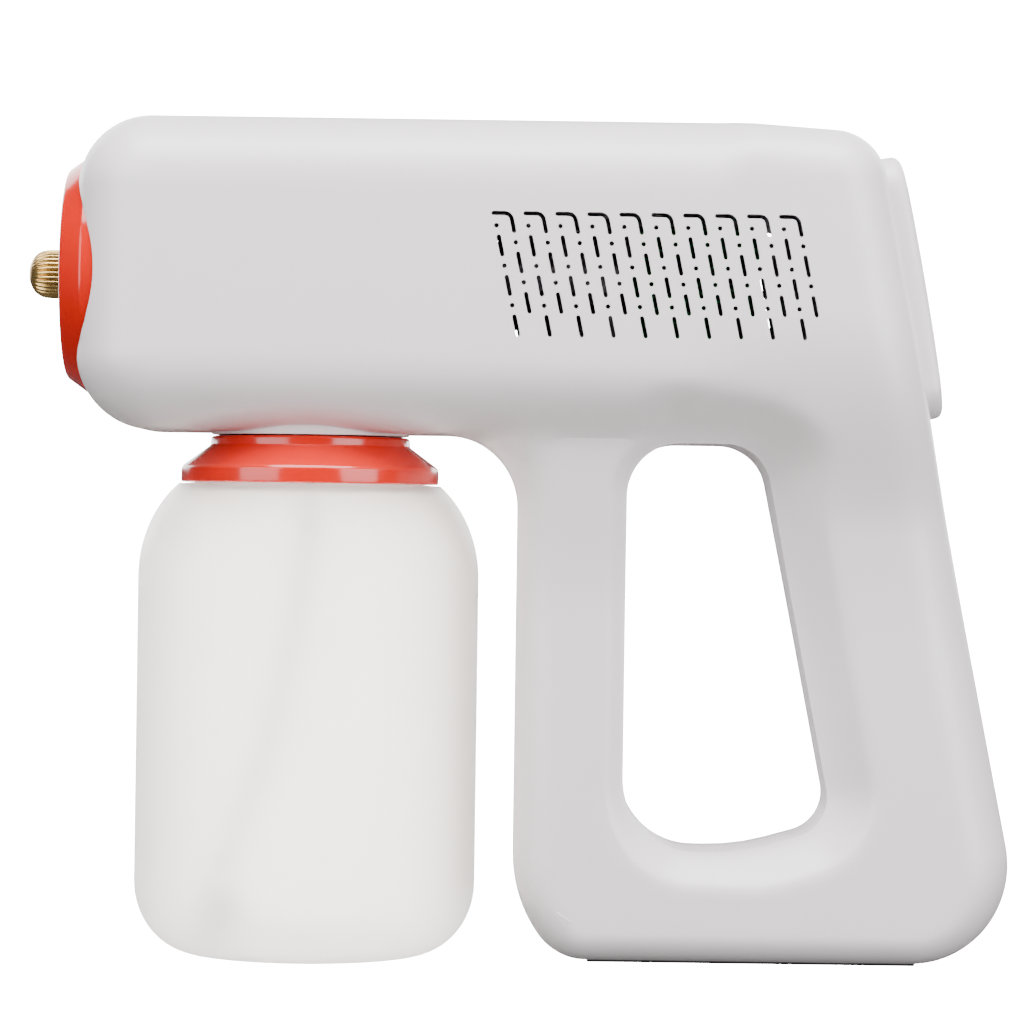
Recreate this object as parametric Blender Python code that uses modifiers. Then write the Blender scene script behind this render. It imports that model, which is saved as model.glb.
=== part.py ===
"""Cordless handheld disinfectant sprayer: pistol body, looped handle, bottle and brass nozzle.

Sizes are in millimetres and become metres where a mesh is made. +Z is up, the nozzle points to -X,
and the middle plane of the body is Y = 0. The bottle and the handle both stand on Z = 0.
"""
import math

import bmesh
import bpy
import numpy as np
from mathutils import Matrix, Vector
from mathutils.geometry import delaunay_2d_cdt

MM = 0.001
CLEAR = 0.3              # gap between neighbouring pieces
MERGE = 0.00001          # merge distance of every modifier, metres

# Body outline in the middle plane
FRONT_X = -120.2
TOP_Z = 229.6
BELLY_Z = 143.9
BASE_Z = 0.7             # the shells end here; the pad under them reaches Z = 0
COLUMN_X = 0.4
LEAN = 0.2016            # the rear edge runs this far forward per unit of height
REAR_X = 142.7           # the rear edge's line at Z = 0
BARREL_HALF = 39.0       # half width of the barrel
GRIP_HALF = 22.0         # half width of the handle
BLEND_Z = (118.0, 178.0)  # heights between which the handle widens into the barrel at the rear
WALL = 2.3               # thickness of the moulded shell
FORWARD_LEAN = math.atan(LEAN)

# Nozzle and front cap, on one axis along X
AXIS_Z = 187.0
CAP_BASE_R = 33.0
CAP_RIM_R = 28.65
NOZZLE_R = 6.75
NOZZLE_TIP = 135.5
GROOVES = 30

# Bottle and neck, on one vertical axis
BOTTLE_X = -57.1
BOTTLE_WALL = 1.8
NECK_R = 24.6
RING_BORE = 26.9
THREAD_PITCH = 4.0
THREAD_HEIGHT = 1.5
THREAD_WIDTH = 1.3
LIP_Z = 139.6

# Rear panel, button, charge window and charging socket, at heights on the leaning rear face
PANEL_Z = 185.3
PANEL_HALF_UP = 36.4
PANEL_HALF_ACROSS = 21.0
BUTTON_Z = 199.0
BUTTON_R = 7.2
BUTTON_TOP = 6.3
WINDOW_Z = 172.0
SOCKET_Z = 54.0
COVER_SIZE = (2.0, 15.0, 10.0)

# Pad under the handle
PAD_X = 66.0
PAD_LENGTH = 90.0
PAD_WIDTH = 28.0
PAD_HEIGHT = 2.9

# Screws (x, z), put in from the right side
SCREWS = [(-97.0, 209.0), (-97.0, 164.0), (74.0, 208.0), (14.0, 62.0), (108.0, 17.0)]
SCREW_SHANK_R = 1.45
SCREW_HOLE_R = 1.8
SCREW_RECESS_R = 3.6
BOSS_REACH_BARREL = 37.4
BOSS_REACH_HANDLE = 20.5

# Battery cells, side by side in the handle, at these depths from its rear edge
CELL_R = 9.1
CELL_LENGTH = 65.0
CELL_Z = 102.0
CELL_DEPTHS = (14.5, 33.7)

# Sampling of the shells' surface
SURFACE_SPACING = 26.0
SURFACE_STEP_DEGREES = 22.0
SURFACE_EDGE_STEPS = 3
SURFACE_GRID = 17.0

# Vents: leaning columns of slots in the barrel's side
VENT_UNITS = 10
VENT_PITCH = 8.56
VENT_LEAN = 0.21
VENT_HALF = 0.59


# ---------------------------------------------------------------- scene, materials, placing

def clear_scene():
    for item in list(bpy.data.objects):
        bpy.data.objects.remove(item, do_unlink=True)


def new_collection(name):
    group = bpy.data.collections.new(name)
    bpy.context.scene.collection.children.link(group)
    return group


def new_material(name, color, roughness, metallic=0.0, alpha=1.0):
    made = bpy.data.materials.new(name)
    made.use_nodes = True
    shader = made.node_tree.nodes["Principled BSDF"]
    shader.inputs["Base Color"].default_value = (*color, 1.0)
    shader.inputs["Roughness"].default_value = roughness
    shader.inputs["Metallic"].default_value = metallic
    shader.inputs["Alpha"].default_value = alpha
    made.diffuse_color = (*color, alpha)
    return made


def place(name, mesh, finish, smooth_angle=35.0):
    """Link a mesh as a named piece."""
    mesh.name = name
    mesh.shade_smooth()
    mesh.set_sharp_from_angle(angle=math.radians(smooth_angle))
    piece = bpy.data.objects.new(name, mesh)
    piece.data.materials.append(FINISH[finish])
    PIECES.objects.link(piece)
    return piece


def as_cutter(piece):
    """Move a piece to the cutters, which are drawn as wire and never rendered."""
    for group in list(piece.users_collection):
        group.objects.unlink(piece)
    CUTTERS.objects.link(piece)
    piece.hide_render = True
    piece.display_type = "WIRE"
    return piece


def combine(piece, tool, operation):
    step = piece.modifiers.new(operation.title() + "_" + tool.name, "BOOLEAN")
    step.operation = operation
    step.solver = "EXACT"
    step.object = as_cutter(tool)


def cut(piece, tool):
    combine(piece, tool, "DIFFERENCE")


def join(piece, tool):
    combine(piece, tool, "UNION")


def bevel(piece, width, segments=2):
    step = piece.modifiers.new("Rounded edges", "BEVEL")
    step.width = width * MM
    step.segments = segments
    step.limit_method = "ANGLE"
    step.angle_limit = math.radians(40)


# ---------------------------------------------------------------- basic shapes

def box(name, size, centre, finish, turn=0.0, rounding=0.0):
    """A box turned about Y, with rounded edges."""
    shape = bmesh.new()
    bmesh.ops.create_cube(shape, size=MM)
    bmesh.ops.scale(shape, vec=size, verts=shape.verts)
    mesh = bpy.data.meshes.new(name)
    shape.to_mesh(mesh)
    shape.free()
    piece = place(name, mesh, finish)
    piece.location = Vector(centre) * MM
    piece.rotation_euler = (0.0, turn, 0.0)
    if rounding:
        bevel(piece, rounding)
    return piece


def rod(name, radius, length, centre, finish, along="Z", turn=0.0, sides=24):
    """A cylinder along X, Y or Z; turn leans a Z cylinder about Y."""
    shape = bmesh.new()
    bmesh.ops.create_cone(shape, cap_ends=True, segments=sides, radius1=radius * MM,
                          radius2=radius * MM, depth=length * MM)
    mesh = bpy.data.meshes.new(name)
    shape.to_mesh(mesh)
    shape.free()
    piece = place(name, mesh, finish)
    piece.location = Vector(centre) * MM
    turns = {"X": (0.0, math.pi / 2, 0.0), "Y": (math.pi / 2, 0.0, 0.0), "Z": (0.0, turn, 0.0)}
    piece.rotation_euler = turns[along]
    return piece


def turned(name, profile, finish, origin, steps=48, closed=True):
    """A turned piece. The profile is (radius, height), outer side first, top to bottom."""
    shape = bmesh.new()
    verts = [shape.verts.new((radius * MM, 0.0, height * MM)) for radius, height in profile]
    for first, second in zip(verts, verts[1:]):
        shape.edges.new((first, second))
    if closed:
        shape.edges.new((verts[-1], verts[0]))
    mesh = bpy.data.meshes.new(name)
    shape.to_mesh(mesh)
    shape.free()
    piece = place(name, mesh, finish)
    spin = piece.modifiers.new("Turned", "SCREW")
    spin.steps = steps
    spin.render_steps = steps
    spin.use_merge_vertices = True
    spin.merge_threshold = MERGE
    spin.use_smooth_shade = True
    piece.location = Vector(origin) * MM
    return piece


def arc(centre_r, centre_h, radius_r, radius_h, start, end, count):
    """Points of an elliptical arc in a turned profile, angles in degrees from the radius axis."""
    return [(centre_r + radius_r * math.cos(math.radians(a)), centre_h + radius_h * math.sin(math.radians(a)))
            for a in np.linspace(start, end, count)]


def smooth_route(points, spacing):
    """Points read off a Catmull-Rom curve through the route's own points."""
    knots = [Vector(p) for p in points]
    knots = [2 * knots[0] - knots[1]] + knots + [2 * knots[-1] - knots[-2]]
    route = []
    for a, b, c, d in zip(knots, knots[1:], knots[2:], knots[3:]):
        count = max(1, round((c - b).length / spacing))
        for step in range(count):
            t = step / count
            route.append(0.5 * (2 * b + (c - a) * t + (2 * a - 5 * b + 4 * c - d) * t ** 2
                                + (3 * b - a - 3 * c + d) * t ** 3))
    route.append(knots[-2])
    return route


def hose(name, points, radius, finish, spacing=6.0, wall=0.0, resolution=2):
    """A round hose or wire through the points; with a wall it is a hollow tube."""
    route = smooth_route(points, spacing)
    curve = bpy.data.curves.new(name, "CURVE")
    curve.dimensions = "3D"
    curve.bevel_depth = radius * MM
    curve.bevel_resolution = resolution
    curve.use_fill_caps = not wall
    spline = curve.splines.new("POLY")
    spline.points.add(len(route) - 1)
    for point, position in zip(spline.points, route):
        point.co = (*(position * MM), 1.0)
    guide = bpy.data.objects.new(name + "_path", curve)
    PIECES.objects.link(guide)
    bpy.context.view_layer.update()
    mesh = bpy.data.meshes.new_from_object(guide.evaluated_get(bpy.context.evaluated_depsgraph_get()))
    shape = bmesh.new()
    shape.from_mesh(mesh)
    bmesh.ops.remove_doubles(shape, verts=shape.verts, dist=MERGE)
    bmesh.ops.recalc_face_normals(shape, faces=shape.faces)
    shape.to_mesh(mesh)
    shape.free()
    bpy.data.objects.remove(guide, do_unlink=True)
    mesh.materials.clear()
    piece = place(name, mesh, finish)
    if wall:
        thicken(piece, wall)
    return piece


def thicken(piece, wall):
    """Give an open surface its wall, on the inner side."""
    step = piece.modifiers.new("Wall", "SOLIDIFY")
    step.thickness = wall * MM
    step.offset = -1.0
    step.thickness_clamp = 0.0
    return step


def screw_thread(name, root, crest, start_z, turns, finish, centre_x, sides=20):
    """A tapering helical ridge from the root radius to the crest; it ends in points at both ends."""
    shape = bmesh.new()
    count = round(turns * sides)
    rings = []
    for step in range(count + 1):
        angle = 2 * math.pi * step / sides
        height = start_z + THREAD_PITCH * step / sides
        fade = min(1.0, min(step, count - step) / (sides / 8) + 0.02)
        tip = root + (crest - root) * fade
        half = THREAD_WIDTH / 2 * max(fade, 0.3)
        section = [(root, -half), (tip, -half * 0.5), (tip, half * 0.5), (root, half)]
        rings.append([shape.verts.new(((centre_x + r * math.cos(angle)) * MM, r * math.sin(angle) * MM,
                                       (height + h) * MM)) for r, h in section])
    for lower, upper in zip(rings, rings[1:]):
        for side in range(4):
            shape.faces.new((lower[side], lower[(side + 1) % 4], upper[(side + 1) % 4], upper[side]))
    shape.faces.new(rings[0])
    shape.faces.new(rings[-1])
    bmesh.ops.recalc_face_normals(shape, faces=shape.faces)
    mesh = bpy.data.meshes.new(name)
    shape.to_mesh(mesh)
    shape.free()
    return place(name, mesh, finish)


# ---------------------------------------------------------------- body surface

def straight(start, end, rounding, spacing):
    """Points along a straight edge, ends left out, with the edge rounding at each."""
    count = int(math.dist(start, end) // spacing)
    shares = [i / (count + 1) for i in range(1, count + 1)]
    return [(start[0] + (end[0] - start[0]) * share, start[1] + (end[1] - start[1]) * share, rounding)
            for share in shares]


def outline(corners, spacing, step_degrees):
    """A closed outline with rounded corners, anticlockwise.

    Each corner is (x, z, radius, value): the value belongs to the edge that leaves the corner and
    blends from one edge's to the next around the corner. The result is rows of (x, z, value).
    """
    rows = []
    total = len(corners)
    parts = []
    for index, (x, z, radius, value) in enumerate(corners):
        before = Vector(corners[index - 1][:2])
        here = Vector((x, z))
        after = Vector(corners[(index + 1) % total][:2])
        back = (before - here).normalized()
        ahead = (after - here).normalized()
        half = back.angle(ahead) / 2
        first = here + back * radius / math.tan(half)
        last = here + ahead * radius / math.tan(half)
        centre = here + (back + ahead).normalized() * radius / math.sin(half)
        sweep = math.pi - 2 * half
        count = max(2, round(math.degrees(sweep) / step_degrees))
        points = []
        for i in range(count + 1):
            share = i / count
            a = (first - centre).normalized()
            b = (last - centre).normalized()
            direction = (a * math.sin((1 - share) * sweep) + b * math.sin(share * sweep)) / math.sin(sweep)
            blend = share * share * (3 - 2 * share)
            mixed = corners[index - 1][3] * (1 - blend) + value * blend
            points.append((*(centre + direction * radius), mixed))
        parts.append(points)
    for index, points in enumerate(parts):
        rows.extend(points)
        following = parts[(index + 1) % total]
        rows.extend(straight(points[-1][:2], following[0][:2], points[-1][2], spacing))
    return np.array(rows)


def rear_line(z):
    return REAR_X - LEAN * z


def body_corners():
    """Corners of the whole body outline; the value is the edge rounding."""
    return [(FRONT_X, TOP_Z, 20.0, 12.0), (FRONT_X, BELLY_Z, 21.0, 20.0), (COLUMN_X, BELLY_Z, 20.0, 12.0),
            (COLUMN_X, 17.6, 40.0, 10.0), (12.2, BASE_Z, 16.0, 8.0), (rear_line(BASE_Z), BASE_Z, 27.0, 14.0),
            (rear_line(227.0), 227.0, 15.0, 14.0), (58.0, TOP_Z, 150.0, 19.0)]


def barrel_corners():
    """Corners of the barrel alone, closed below by the belly line."""
    return [(FRONT_X, TOP_Z, 20.0, 12.0), (FRONT_X, BELLY_Z, 21.0, 20.0),
            (rear_line(BELLY_Z), BELLY_Z, 1.0, 14.0), (rear_line(227.0), 227.0, 15.0, 14.0),
            (58.0, TOP_Z, 150.0, 19.0)]


def loop_corners():
    """Corners of the finger loop; the value is the width of the scooped edge around it."""
    return [(30.2, 142.2, 14.5, 4.5), (30.2, 31.0, 20.0, 9.0), (62.0, 30.6, 60.0, 11.0),
            (88.1, 38.0, 11.0, 12.5), (67.4, 142.2, 13.0, 4.5)]


def distance_inside(points, ring, value_column=2):
    """Signed distance from each point to a closed ring, positive inside, and the ring's value there."""
    start = ring[:, :2]
    end = np.roll(start, -1, axis=0)
    along = end - start
    offset = points[:, None, :] - start[None]
    share = np.clip((offset * along).sum(2) / (along * along).sum(1), 0.0, 1.0)
    gap = np.linalg.norm(offset - share[..., None] * along, axis=2)
    nearest = gap.argmin(axis=1)
    rows = np.arange(len(points))
    values = ring[:, value_column]
    t = share[rows, nearest]
    value = values[nearest] * (1 - t) + np.roll(values, -1)[nearest] * t
    return np.where(inside(points, ring), 1.0, -1.0) * gap[rows, nearest], value


def inside(points, ring):
    """True for the points within a closed ring."""
    start = ring[:, :2]
    end = np.roll(start, -1, axis=0)
    x = points[:, 0][:, None]
    z = points[:, 1][:, None]
    spans = (start[:, 1] > z) != (end[:, 1] > z)
    rise = np.where(end[:, 1] == start[:, 1], 1.0, end[:, 1] - start[:, 1])
    crossing = start[:, 0] + (z - start[:, 1]) / rise * (end[:, 0] - start[:, 0])
    return (spans & (x < crossing)).sum(axis=1) % 2 == 1


def smoothstep(value, low, high):
    t = np.clip((value - low) / (high - low), 0.0, 1.0)
    return t * t * (3 - 2 * t)


def rounded(depth, half, radius):
    """Half width of a rounded edge at a depth inside the outline."""
    within = np.clip(depth, 0.0, radius)
    height = half - radius + np.sqrt(np.maximum(radius ** 2 - (radius - within) ** 2, 0.0))
    return np.where(depth < 0, half - radius + 6.0 * depth, height)


def soft_max(a, b, reach):
    t = np.clip(0.5 + 0.5 * (a - b) / reach, 0.0, 1.0)
    return b * (1 - t) + a * t + reach * t * (1 - t)


class Body:
    """The outer surface of the body: half width as a function of (x, z)."""

    def __init__(self):
        self.outer = outline(body_corners(), SURFACE_SPACING, SURFACE_STEP_DEGREES)
        self.barrel = outline(barrel_corners(), 8.0, 6.0)
        self.loop = outline(loop_corners(), SURFACE_SPACING, SURFACE_STEP_DEGREES)

    def half_width(self, points):
        x = points[:, 0]
        z = points[:, 1]
        depth, rounding = distance_inside(points, self.barrel)
        barrel = rounded(depth, BARREL_HALF, rounding)
        rear = smoothstep(x, 40.0, 80.0)
        grip_half = GRIP_HALF + 5.0 * smoothstep(z, 95.0, 145.0) * (1 - rear) \
            + 11.0 * smoothstep(z, 85.0, 200.0) * rear
        depth, rounding = distance_inside(points, self.outer)
        handle = rounded(np.maximum(depth, 0.0), grip_half, rounding)
        full = rounded(np.maximum(depth, 0.0), BARREL_HALF, rounding)
        flowing = handle + (full - handle) * smoothstep(z, *BLEND_Z)
        width = soft_max(barrel, handle, 6.0) * (1 - rear) + flowing * rear
        gap, scoop = distance_inside(points, self.loop)
        outside = np.maximum(-gap, 0.0)
        edge = grip_half - 0.7 * scoop + 0.7 * scoop * (outside / scoop) ** 1.3
        return -soft_max(-width, -edge, 2.0)


def vent_shapes():
    """Outlines of the vents on the barrel's side: hooks and dashes in leaning columns."""
    shapes = []
    for unit in range(VENT_UNITS):
        shift = VENT_PITCH * unit
        shapes.append([(x + shift, z) for x, z in hook_outline()])
        columns = [(-6.25, 199.7, [(-3.0, -7.8), (-13.8, -18.4), (-24.4, -29.2)]),
                   (-1.0, 195.2, [(-3.0, -7.8), (-13.8, -18.5)])]
        for column_x, column_z, dashes in columns:
            for top, bottom in dashes:
                corners = [(-VENT_HALF, top), (-VENT_HALF, bottom), (VENT_HALF, bottom), (VENT_HALF, top)]
                shapes.append([(column_x + shift - VENT_LEAN * h + across, column_z + h)
                               for across, h in corners])
    return shapes


def hook_outline():
    """The hook that heads each unit: a level bar, a round corner and a leaning leg."""
    half = VENT_HALF
    centre = (-4.13, 201.0)
    lean = math.atan(VENT_LEAN)
    turn = np.linspace(math.pi / 2, lean, 3)
    across = (half * math.cos(lean), half * math.sin(lean))
    foot = (-1.5, 198.2)
    outer = [(centre[0] + (2 + half) * math.cos(a), centre[1] + (2 + half) * math.sin(a)) for a in turn]
    inner = [(centre[0] + (2 - half) * math.cos(a), centre[1] + (2 - half) * math.sin(a)) for a in turn[::-1]]
    return ([(-7.1, 203.0 - half), (-7.1, 203.0 + half)] + outer
            + [(foot[0] + across[0], foot[1] + across[1]), (foot[0] - across[0], foot[1] - across[1])]
            + inner)


def body_surface(side):
    """One side's outer surface, open at the middle plane. The side is -1 (left) or +1 (right)."""
    body = Body()
    shape = bmesh.new()

    def vertex_rows(points, heights=None):
        widths = body.half_width(points) if heights is None else heights
        return [shape.verts.new((x * MM, side * (y + CLEAR / 2) * MM, z * MM))
                for (x, z), y in zip(points, widths)]

    def bands(rings):
        for lower, upper in zip(rings, rings[1:]):
            for i in range(len(lower)):
                j = (i + 1) % len(lower)
                shape.faces.new((lower[i], lower[j], upper[j], upper[i]))

    outer = body.outer[:, :2]
    tangent = np.roll(outer, -1, axis=0) - np.roll(outer, 1, axis=0)
    tangent /= np.linalg.norm(tangent, axis=1)[:, None]
    inward = np.stack([-tangent[:, 1], tangent[:, 0]], axis=1)
    depths = 1 - np.cos(np.linspace(0.0, math.pi / 2, SURFACE_EDGE_STEPS + 1))
    rims = [outer + inward * (body.outer[:, 2] * depth)[:, None] for depth in depths]
    rings = [vertex_rows(outer, np.zeros(len(outer)))] + [vertex_rows(rim) for rim in rims]
    bands(rings)

    loop = body.loop[:, :2]
    tangent = np.roll(loop, -1, axis=0) - np.roll(loop, 1, axis=0)
    tangent /= np.linalg.norm(tangent, axis=1)[:, None]
    away = np.stack([tangent[:, 1], -tangent[:, 0]], axis=1)
    scoops = [loop + away * (body.loop[:, 2] * share)[:, None] for share in (0.0, 0.5, 0.85, 1.15)]
    rings = [vertex_rows(loop, np.zeros(len(loop)))] + [vertex_rows(scoop) for scoop in scoops]
    bands(rings)

    limits = [rims[-1], scoops[-1]]
    holes = [np.array(vent) for vent in vent_shapes()]
    inner = grid_points(SURFACE_GRID, limits, holes)
    points = np.concatenate(limits + holes + [inner])
    edges = []
    first = 0
    for ring in limits + holes:
        edges += [(first + i, first + (i + 1) % len(ring)) for i in range(len(ring))]
        first += len(ring)
    made, _, faces, origins, _, _ = delaunay_2d_cdt([Vector(p) for p in points], edges, [], 0, 1e-4)
    flat = np.array([tuple(p) for p in made])
    centres = np.array([flat[list(face)].mean(axis=0) for face in faces])
    keep = inside(centres, limits[0]) & ~inside(centres, limits[1])
    owner = {}
    first = len(limits[0]) + len(limits[1])
    for number, hole in enumerate(holes):
        for i in range(first, first + len(hole)):
            owner[i] = number
        first += len(hole)
    verts = vertex_rows(flat)
    for face, centre, kept in zip(faces, centres, keep):
        if not kept:
            continue
        owners = {owner.get(origins[i][0], -1 - i) if origins[i] else -1 - i for i in face}
        hole = owners.pop() if len(owners) == 1 else -1
        if hole >= 0 and inside(centre[None], holes[hole])[0]:
            continue
        shape.faces.new([verts[i] for i in face])
    bmesh.ops.remove_doubles(shape, verts=shape.verts, dist=MERGE)
    loose = [v for v in shape.verts if not v.link_faces]
    bmesh.ops.delete(shape, geom=loose, context="VERTS")
    bmesh.ops.recalc_face_normals(shape, faces=shape.faces)
    middle = max(shape.faces, key=lambda face: side * face.calc_center_median().y)
    if middle.normal.y * side < 0:
        bmesh.ops.reverse_faces(shape, faces=shape.faces)
    return shape


def grid_points(spacing, limits, holes):
    """Points inside the side face that carry its curvature, clear of its borders and the vents."""
    xs = np.arange(-110.0, 135.0, spacing)
    zs = np.arange(6.0, 222.0, spacing)
    points = np.array([(x + (row % 2) * spacing / 2, z) for row, z in enumerate(zs) for x in xs])
    border = spacing * 0.45
    depth, _ = distance_inside(points, limits[0], 0)
    points = points[depth > border]
    depth, _ = distance_inside(points, limits[1], 0)
    points = points[depth < -border]
    flat_barrel = (points[:, 1] > 172.0) & (points[:, 0] < 60.0)
    points = points[~flat_barrel]
    for hole in holes:
        depth, _ = distance_inside(points, np.column_stack([hole, hole[:, 0]]), 0)
        points = points[depth < -1.5]
    return points


# ---------------------------------------------------------------- body, base and panel

def on_rear(z, out, y=0.0):
    """A point on the leaning rear face at height z, moved outwards (or inwards, if negative)."""
    return (rear_line(z) + out * math.cos(FORWARD_LEAN), y, z + out * math.sin(FORWARD_LEAN))


def housing_half(name, side):
    """One moulded shell with its screw bosses and the openings for its neighbours."""
    surface = body_surface(side)
    mesh = bpy.data.meshes.new(name)
    surface.to_mesh(mesh)
    surface.free()
    shell = place(name, mesh, "white")
    thicken(shell, WALL)
    boss_r = 4.2 if side < 0 else 5.6
    for number, (x, z) in enumerate(SCREWS):
        reach = BOSS_REACH_BARREL if z > BELLY_Z else BOSS_REACH_HANDLE
        length = reach - CLEAR / 2
        middle = side * (reach + CLEAR / 2) / 2
        join(shell, rod(f"{name}_boss_{number}", boss_r, length, (x, middle, z), "white", "Y", sides=10))
    for number, (x, z) in enumerate(SCREWS):
        hole = f"{name}_screw_hole_{number}"
        cut(shell, rod(hole, SCREW_HOLE_R, 22.0, (x, side * 1.0, z), "white", "Y", sides=8))
        if side > 0:
            cut(shell, rod(hole + "_head", SCREW_RECESS_R, 40.0, (x, 29.0, z), "white", "Y", sides=12))
    cut(shell, rod(name + "_neck_hole", RING_BORE + 0.7, 16.0, (BOTTLE_X, 0, 143.0), "white", sides=48))
    cut(shell, rod(name + "_front_hole", CAP_BASE_R + CLEAR, 20.0, (-121.0, 0, AXIS_Z), "white", "X",
                   sides=48))
    button_hole = rod(name + "_button_hole", 9.5, 12.0, on_rear(BUTTON_Z, -3.0), "white",
                      turn=math.pi / 2 - FORWARD_LEAN)
    cut(shell, button_hole)
    cut(shell, box(name + "_pad_opening", (PAD_LENGTH + 2 * CLEAR, PAD_WIDTH + 2 * CLEAR, 8.0),
                   (PAD_X, 0, 0), "white"))
    cut(shell, box(name + "_socket_opening", (12.0, COVER_SIZE[1] + 2 * CLEAR, COVER_SIZE[2] + 2 * CLEAR),
                   on_rear(SOCKET_Z, -1.0), "white", turn=-FORWARD_LEAN))
    return shell


def base_pad():
    size = (PAD_LENGTH, PAD_WIDTH, PAD_HEIGHT)
    return box("base_pad", size, (PAD_X, 0, PAD_HEIGHT / 2), "dark_rubber", rounding=0.5)


def panel_height(share_up, share_across):
    """How far the rear panel stands out of the body: crowned both ways."""
    return (6.3 + 0.7 * share_up - 0.8 * share_up ** 2) * (1 - 0.1 * share_across ** 2)


def rear_panel():
    """The raised panel, a crowned plate with rounded corners on the leaning rear face."""
    half_up = PANEL_HALF_UP
    half_across = PANEL_HALF_ACROSS
    corners = [(-half_across, half_up, 9.0, 0), (-half_across, -half_up, 9.0, 0),
               (half_across, -half_up, 9.0, 0), (half_across, half_up, 9.0, 0)]
    ring = outline(corners, 12.0, 18.0)[:, :2]
    levels = [(1.0, 0.05), (1.0, 0.55), (0.985, 0.75), (0.955, 0.9), (0.9, 0.98), (0.8, 1.0), (0.5, 1.0),
              (0.2, 1.0)]
    shape = bmesh.new()
    rings = []
    for scale, lift in levels:
        row = []
        for across, up in ring * scale:
            height = lift * panel_height(up / half_up, across / half_across)
            x, y, z = on_rear(PANEL_Z + up * math.cos(FORWARD_LEAN), max(height, CLEAR), across)
            row.append(shape.verts.new((x * MM, y * MM, z * MM)))
        rings.append(row)
    count = len(ring)
    for lower, upper in zip(rings, rings[1:]):
        for i in range(count):
            shape.faces.new((lower[i], lower[(i + 1) % count], upper[(i + 1) % count], upper[i]))
    shape.faces.new(rings[0])
    shape.faces.new(rings[-1])
    bmesh.ops.recalc_face_normals(shape, faces=shape.faces)
    mesh = bpy.data.meshes.new("rear_panel")
    shape.to_mesh(mesh)
    shape.free()
    panel = place("rear_panel", mesh, "white")
    tilt = math.pi / 2 - FORWARD_LEAN
    cut(panel, rod("panel_button_hole", BUTTON_R + CLEAR, 30.0, on_rear(BUTTON_Z, 3.0), "white", turn=tilt,
                   sides=32))
    cut(panel, box("panel_window_slot", (30.0, 17.0, 4.0), on_rear(WINDOW_Z, 3.0), "white",
                   turn=-FORWARD_LEAN))
    return panel


# ---------------------------------------------------------------- spray button and port cover

def spray_button():
    """A dished thumb button with a retaining flange and a stem for its spring."""
    profile = [(0.0, BUTTON_TOP - 0.7), (4.5, BUTTON_TOP - 0.4), (6.6, BUTTON_TOP),
               (BUTTON_R, BUTTON_TOP - 0.5), (BUTTON_R, -0.3), (8.8, -0.3), (8.8, -1.5), (3.0, -1.5),
               (3.0, -5.4), (0.0, -5.4)]
    button = turned("spray_button", profile, "grey", on_rear(BUTTON_Z, 0.0), steps=20, closed=False)
    button.rotation_euler = (0.0, math.pi / 2 - FORWARD_LEAN, 0.0)
    return button


def button_spring():
    """The return spring around the button's stem."""
    turns = 3.5
    steps = 9
    coil = []
    for step in range(round(turns * steps) + 1):
        angle = 2 * math.pi * step / steps
        coil.append((4.3 * math.cos(angle), 4.3 * math.sin(angle), -6.6 + 4.3 * step / (turns * steps)))
    tilt = Matrix.Rotation(math.pi / 2 - FORWARD_LEAN, 3, "Y")
    centre = Vector(on_rear(BUTTON_Z, 0.0))
    return hose("button_spring", [tilt @ Vector(p) + centre for p in coil], 0.4, "steel", spacing=4.0,
                resolution=0)


def button_switch():
    return box("button_switch", (3.5, 13.0, 13.0), on_rear(BUTTON_Z, -9.2), "dark", turn=-FORWARD_LEAN,
               rounding=0.4)


def battery_window():
    return box("battery_window", (5.0, 16.4, 3.4), on_rear(WINDOW_Z, 3.1), "lens", turn=-FORWARD_LEAN,
               rounding=0.3)


def socket_cover():
    """The rubber cover over the charging socket; its origin is on its hinge axis."""
    cover = box("socket_cover", COVER_SIZE, (0, 0, 0), "grey_rubber", rounding=0.2)
    to_centre = Vector((-COVER_SIZE[0] / 2 + 0.3, 0.0, COVER_SIZE[2] / 2 - 0.3)) * MM
    cover.data.transform(Matrix.Translation(to_centre))
    lower = COVER_SIZE[2] / 2 - 0.3
    cover.location = Vector(on_rear(SOCKET_Z - lower * math.cos(FORWARD_LEAN), -0.3)) * MM
    cover.rotation_euler = (0.0, -FORWARD_LEAN, 0.0)
    return cover


def charging_socket():
    socket = box("charging_socket", (10.0, 9.4, 7.0), on_rear(SOCKET_Z, -7.9), "dark", turn=-FORWARD_LEAN,
                 rounding=0.4)
    mouth = rod("socket_mouth", 2.6, 9.0, on_rear(SOCKET_Z, -4.0), "dark", turn=math.pi / 2 - FORWARD_LEAN)
    cut(socket, mouth)
    return socket


# ---------------------------------------------------------------- front cap and nozzle

def front_cap():
    """The coloured bezel: a cone with a flat rim, a sunk floor and a skirt into the body."""
    profile = [(28.2, 124.7), (CAP_RIM_R, 124.3), (CAP_BASE_R, 118.5), (CAP_BASE_R, 113.8), (31.0, 113.8),
               (31.0, 118.2), (27.0, 119.3), (8.2, 119.3), (8.2, 121.5), (25.2, 121.5), (26.8, 124.7)]
    return turned_forward("front_cap", profile, "orange", steps=32)


def turned_forward(name, profile, finish, steps=32):
    """A turned piece on the nozzle's axis; heights in its profile are distances towards the nozzle."""
    piece = turned(name, profile, finish, (0, 0, AXIS_Z), steps=steps)
    piece.rotation_euler = (0.0, -math.pi / 2, 0.0)
    return piece


def lens_ring():
    profile = [(22.5, 122.9), (22.9, 122.5), (22.9, 121.8), (13.1, 121.8), (13.1, 122.5), (13.5, 122.9)]
    return turned_forward("lens_ring", profile, "lens", steps=28)


def led_board():
    profile = [(27.0, 118.4), (27.0, 116.8), (9.5, 116.8), (9.5, 118.4)]
    return turned_forward("led_board", profile, "board", steps=24)


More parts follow.
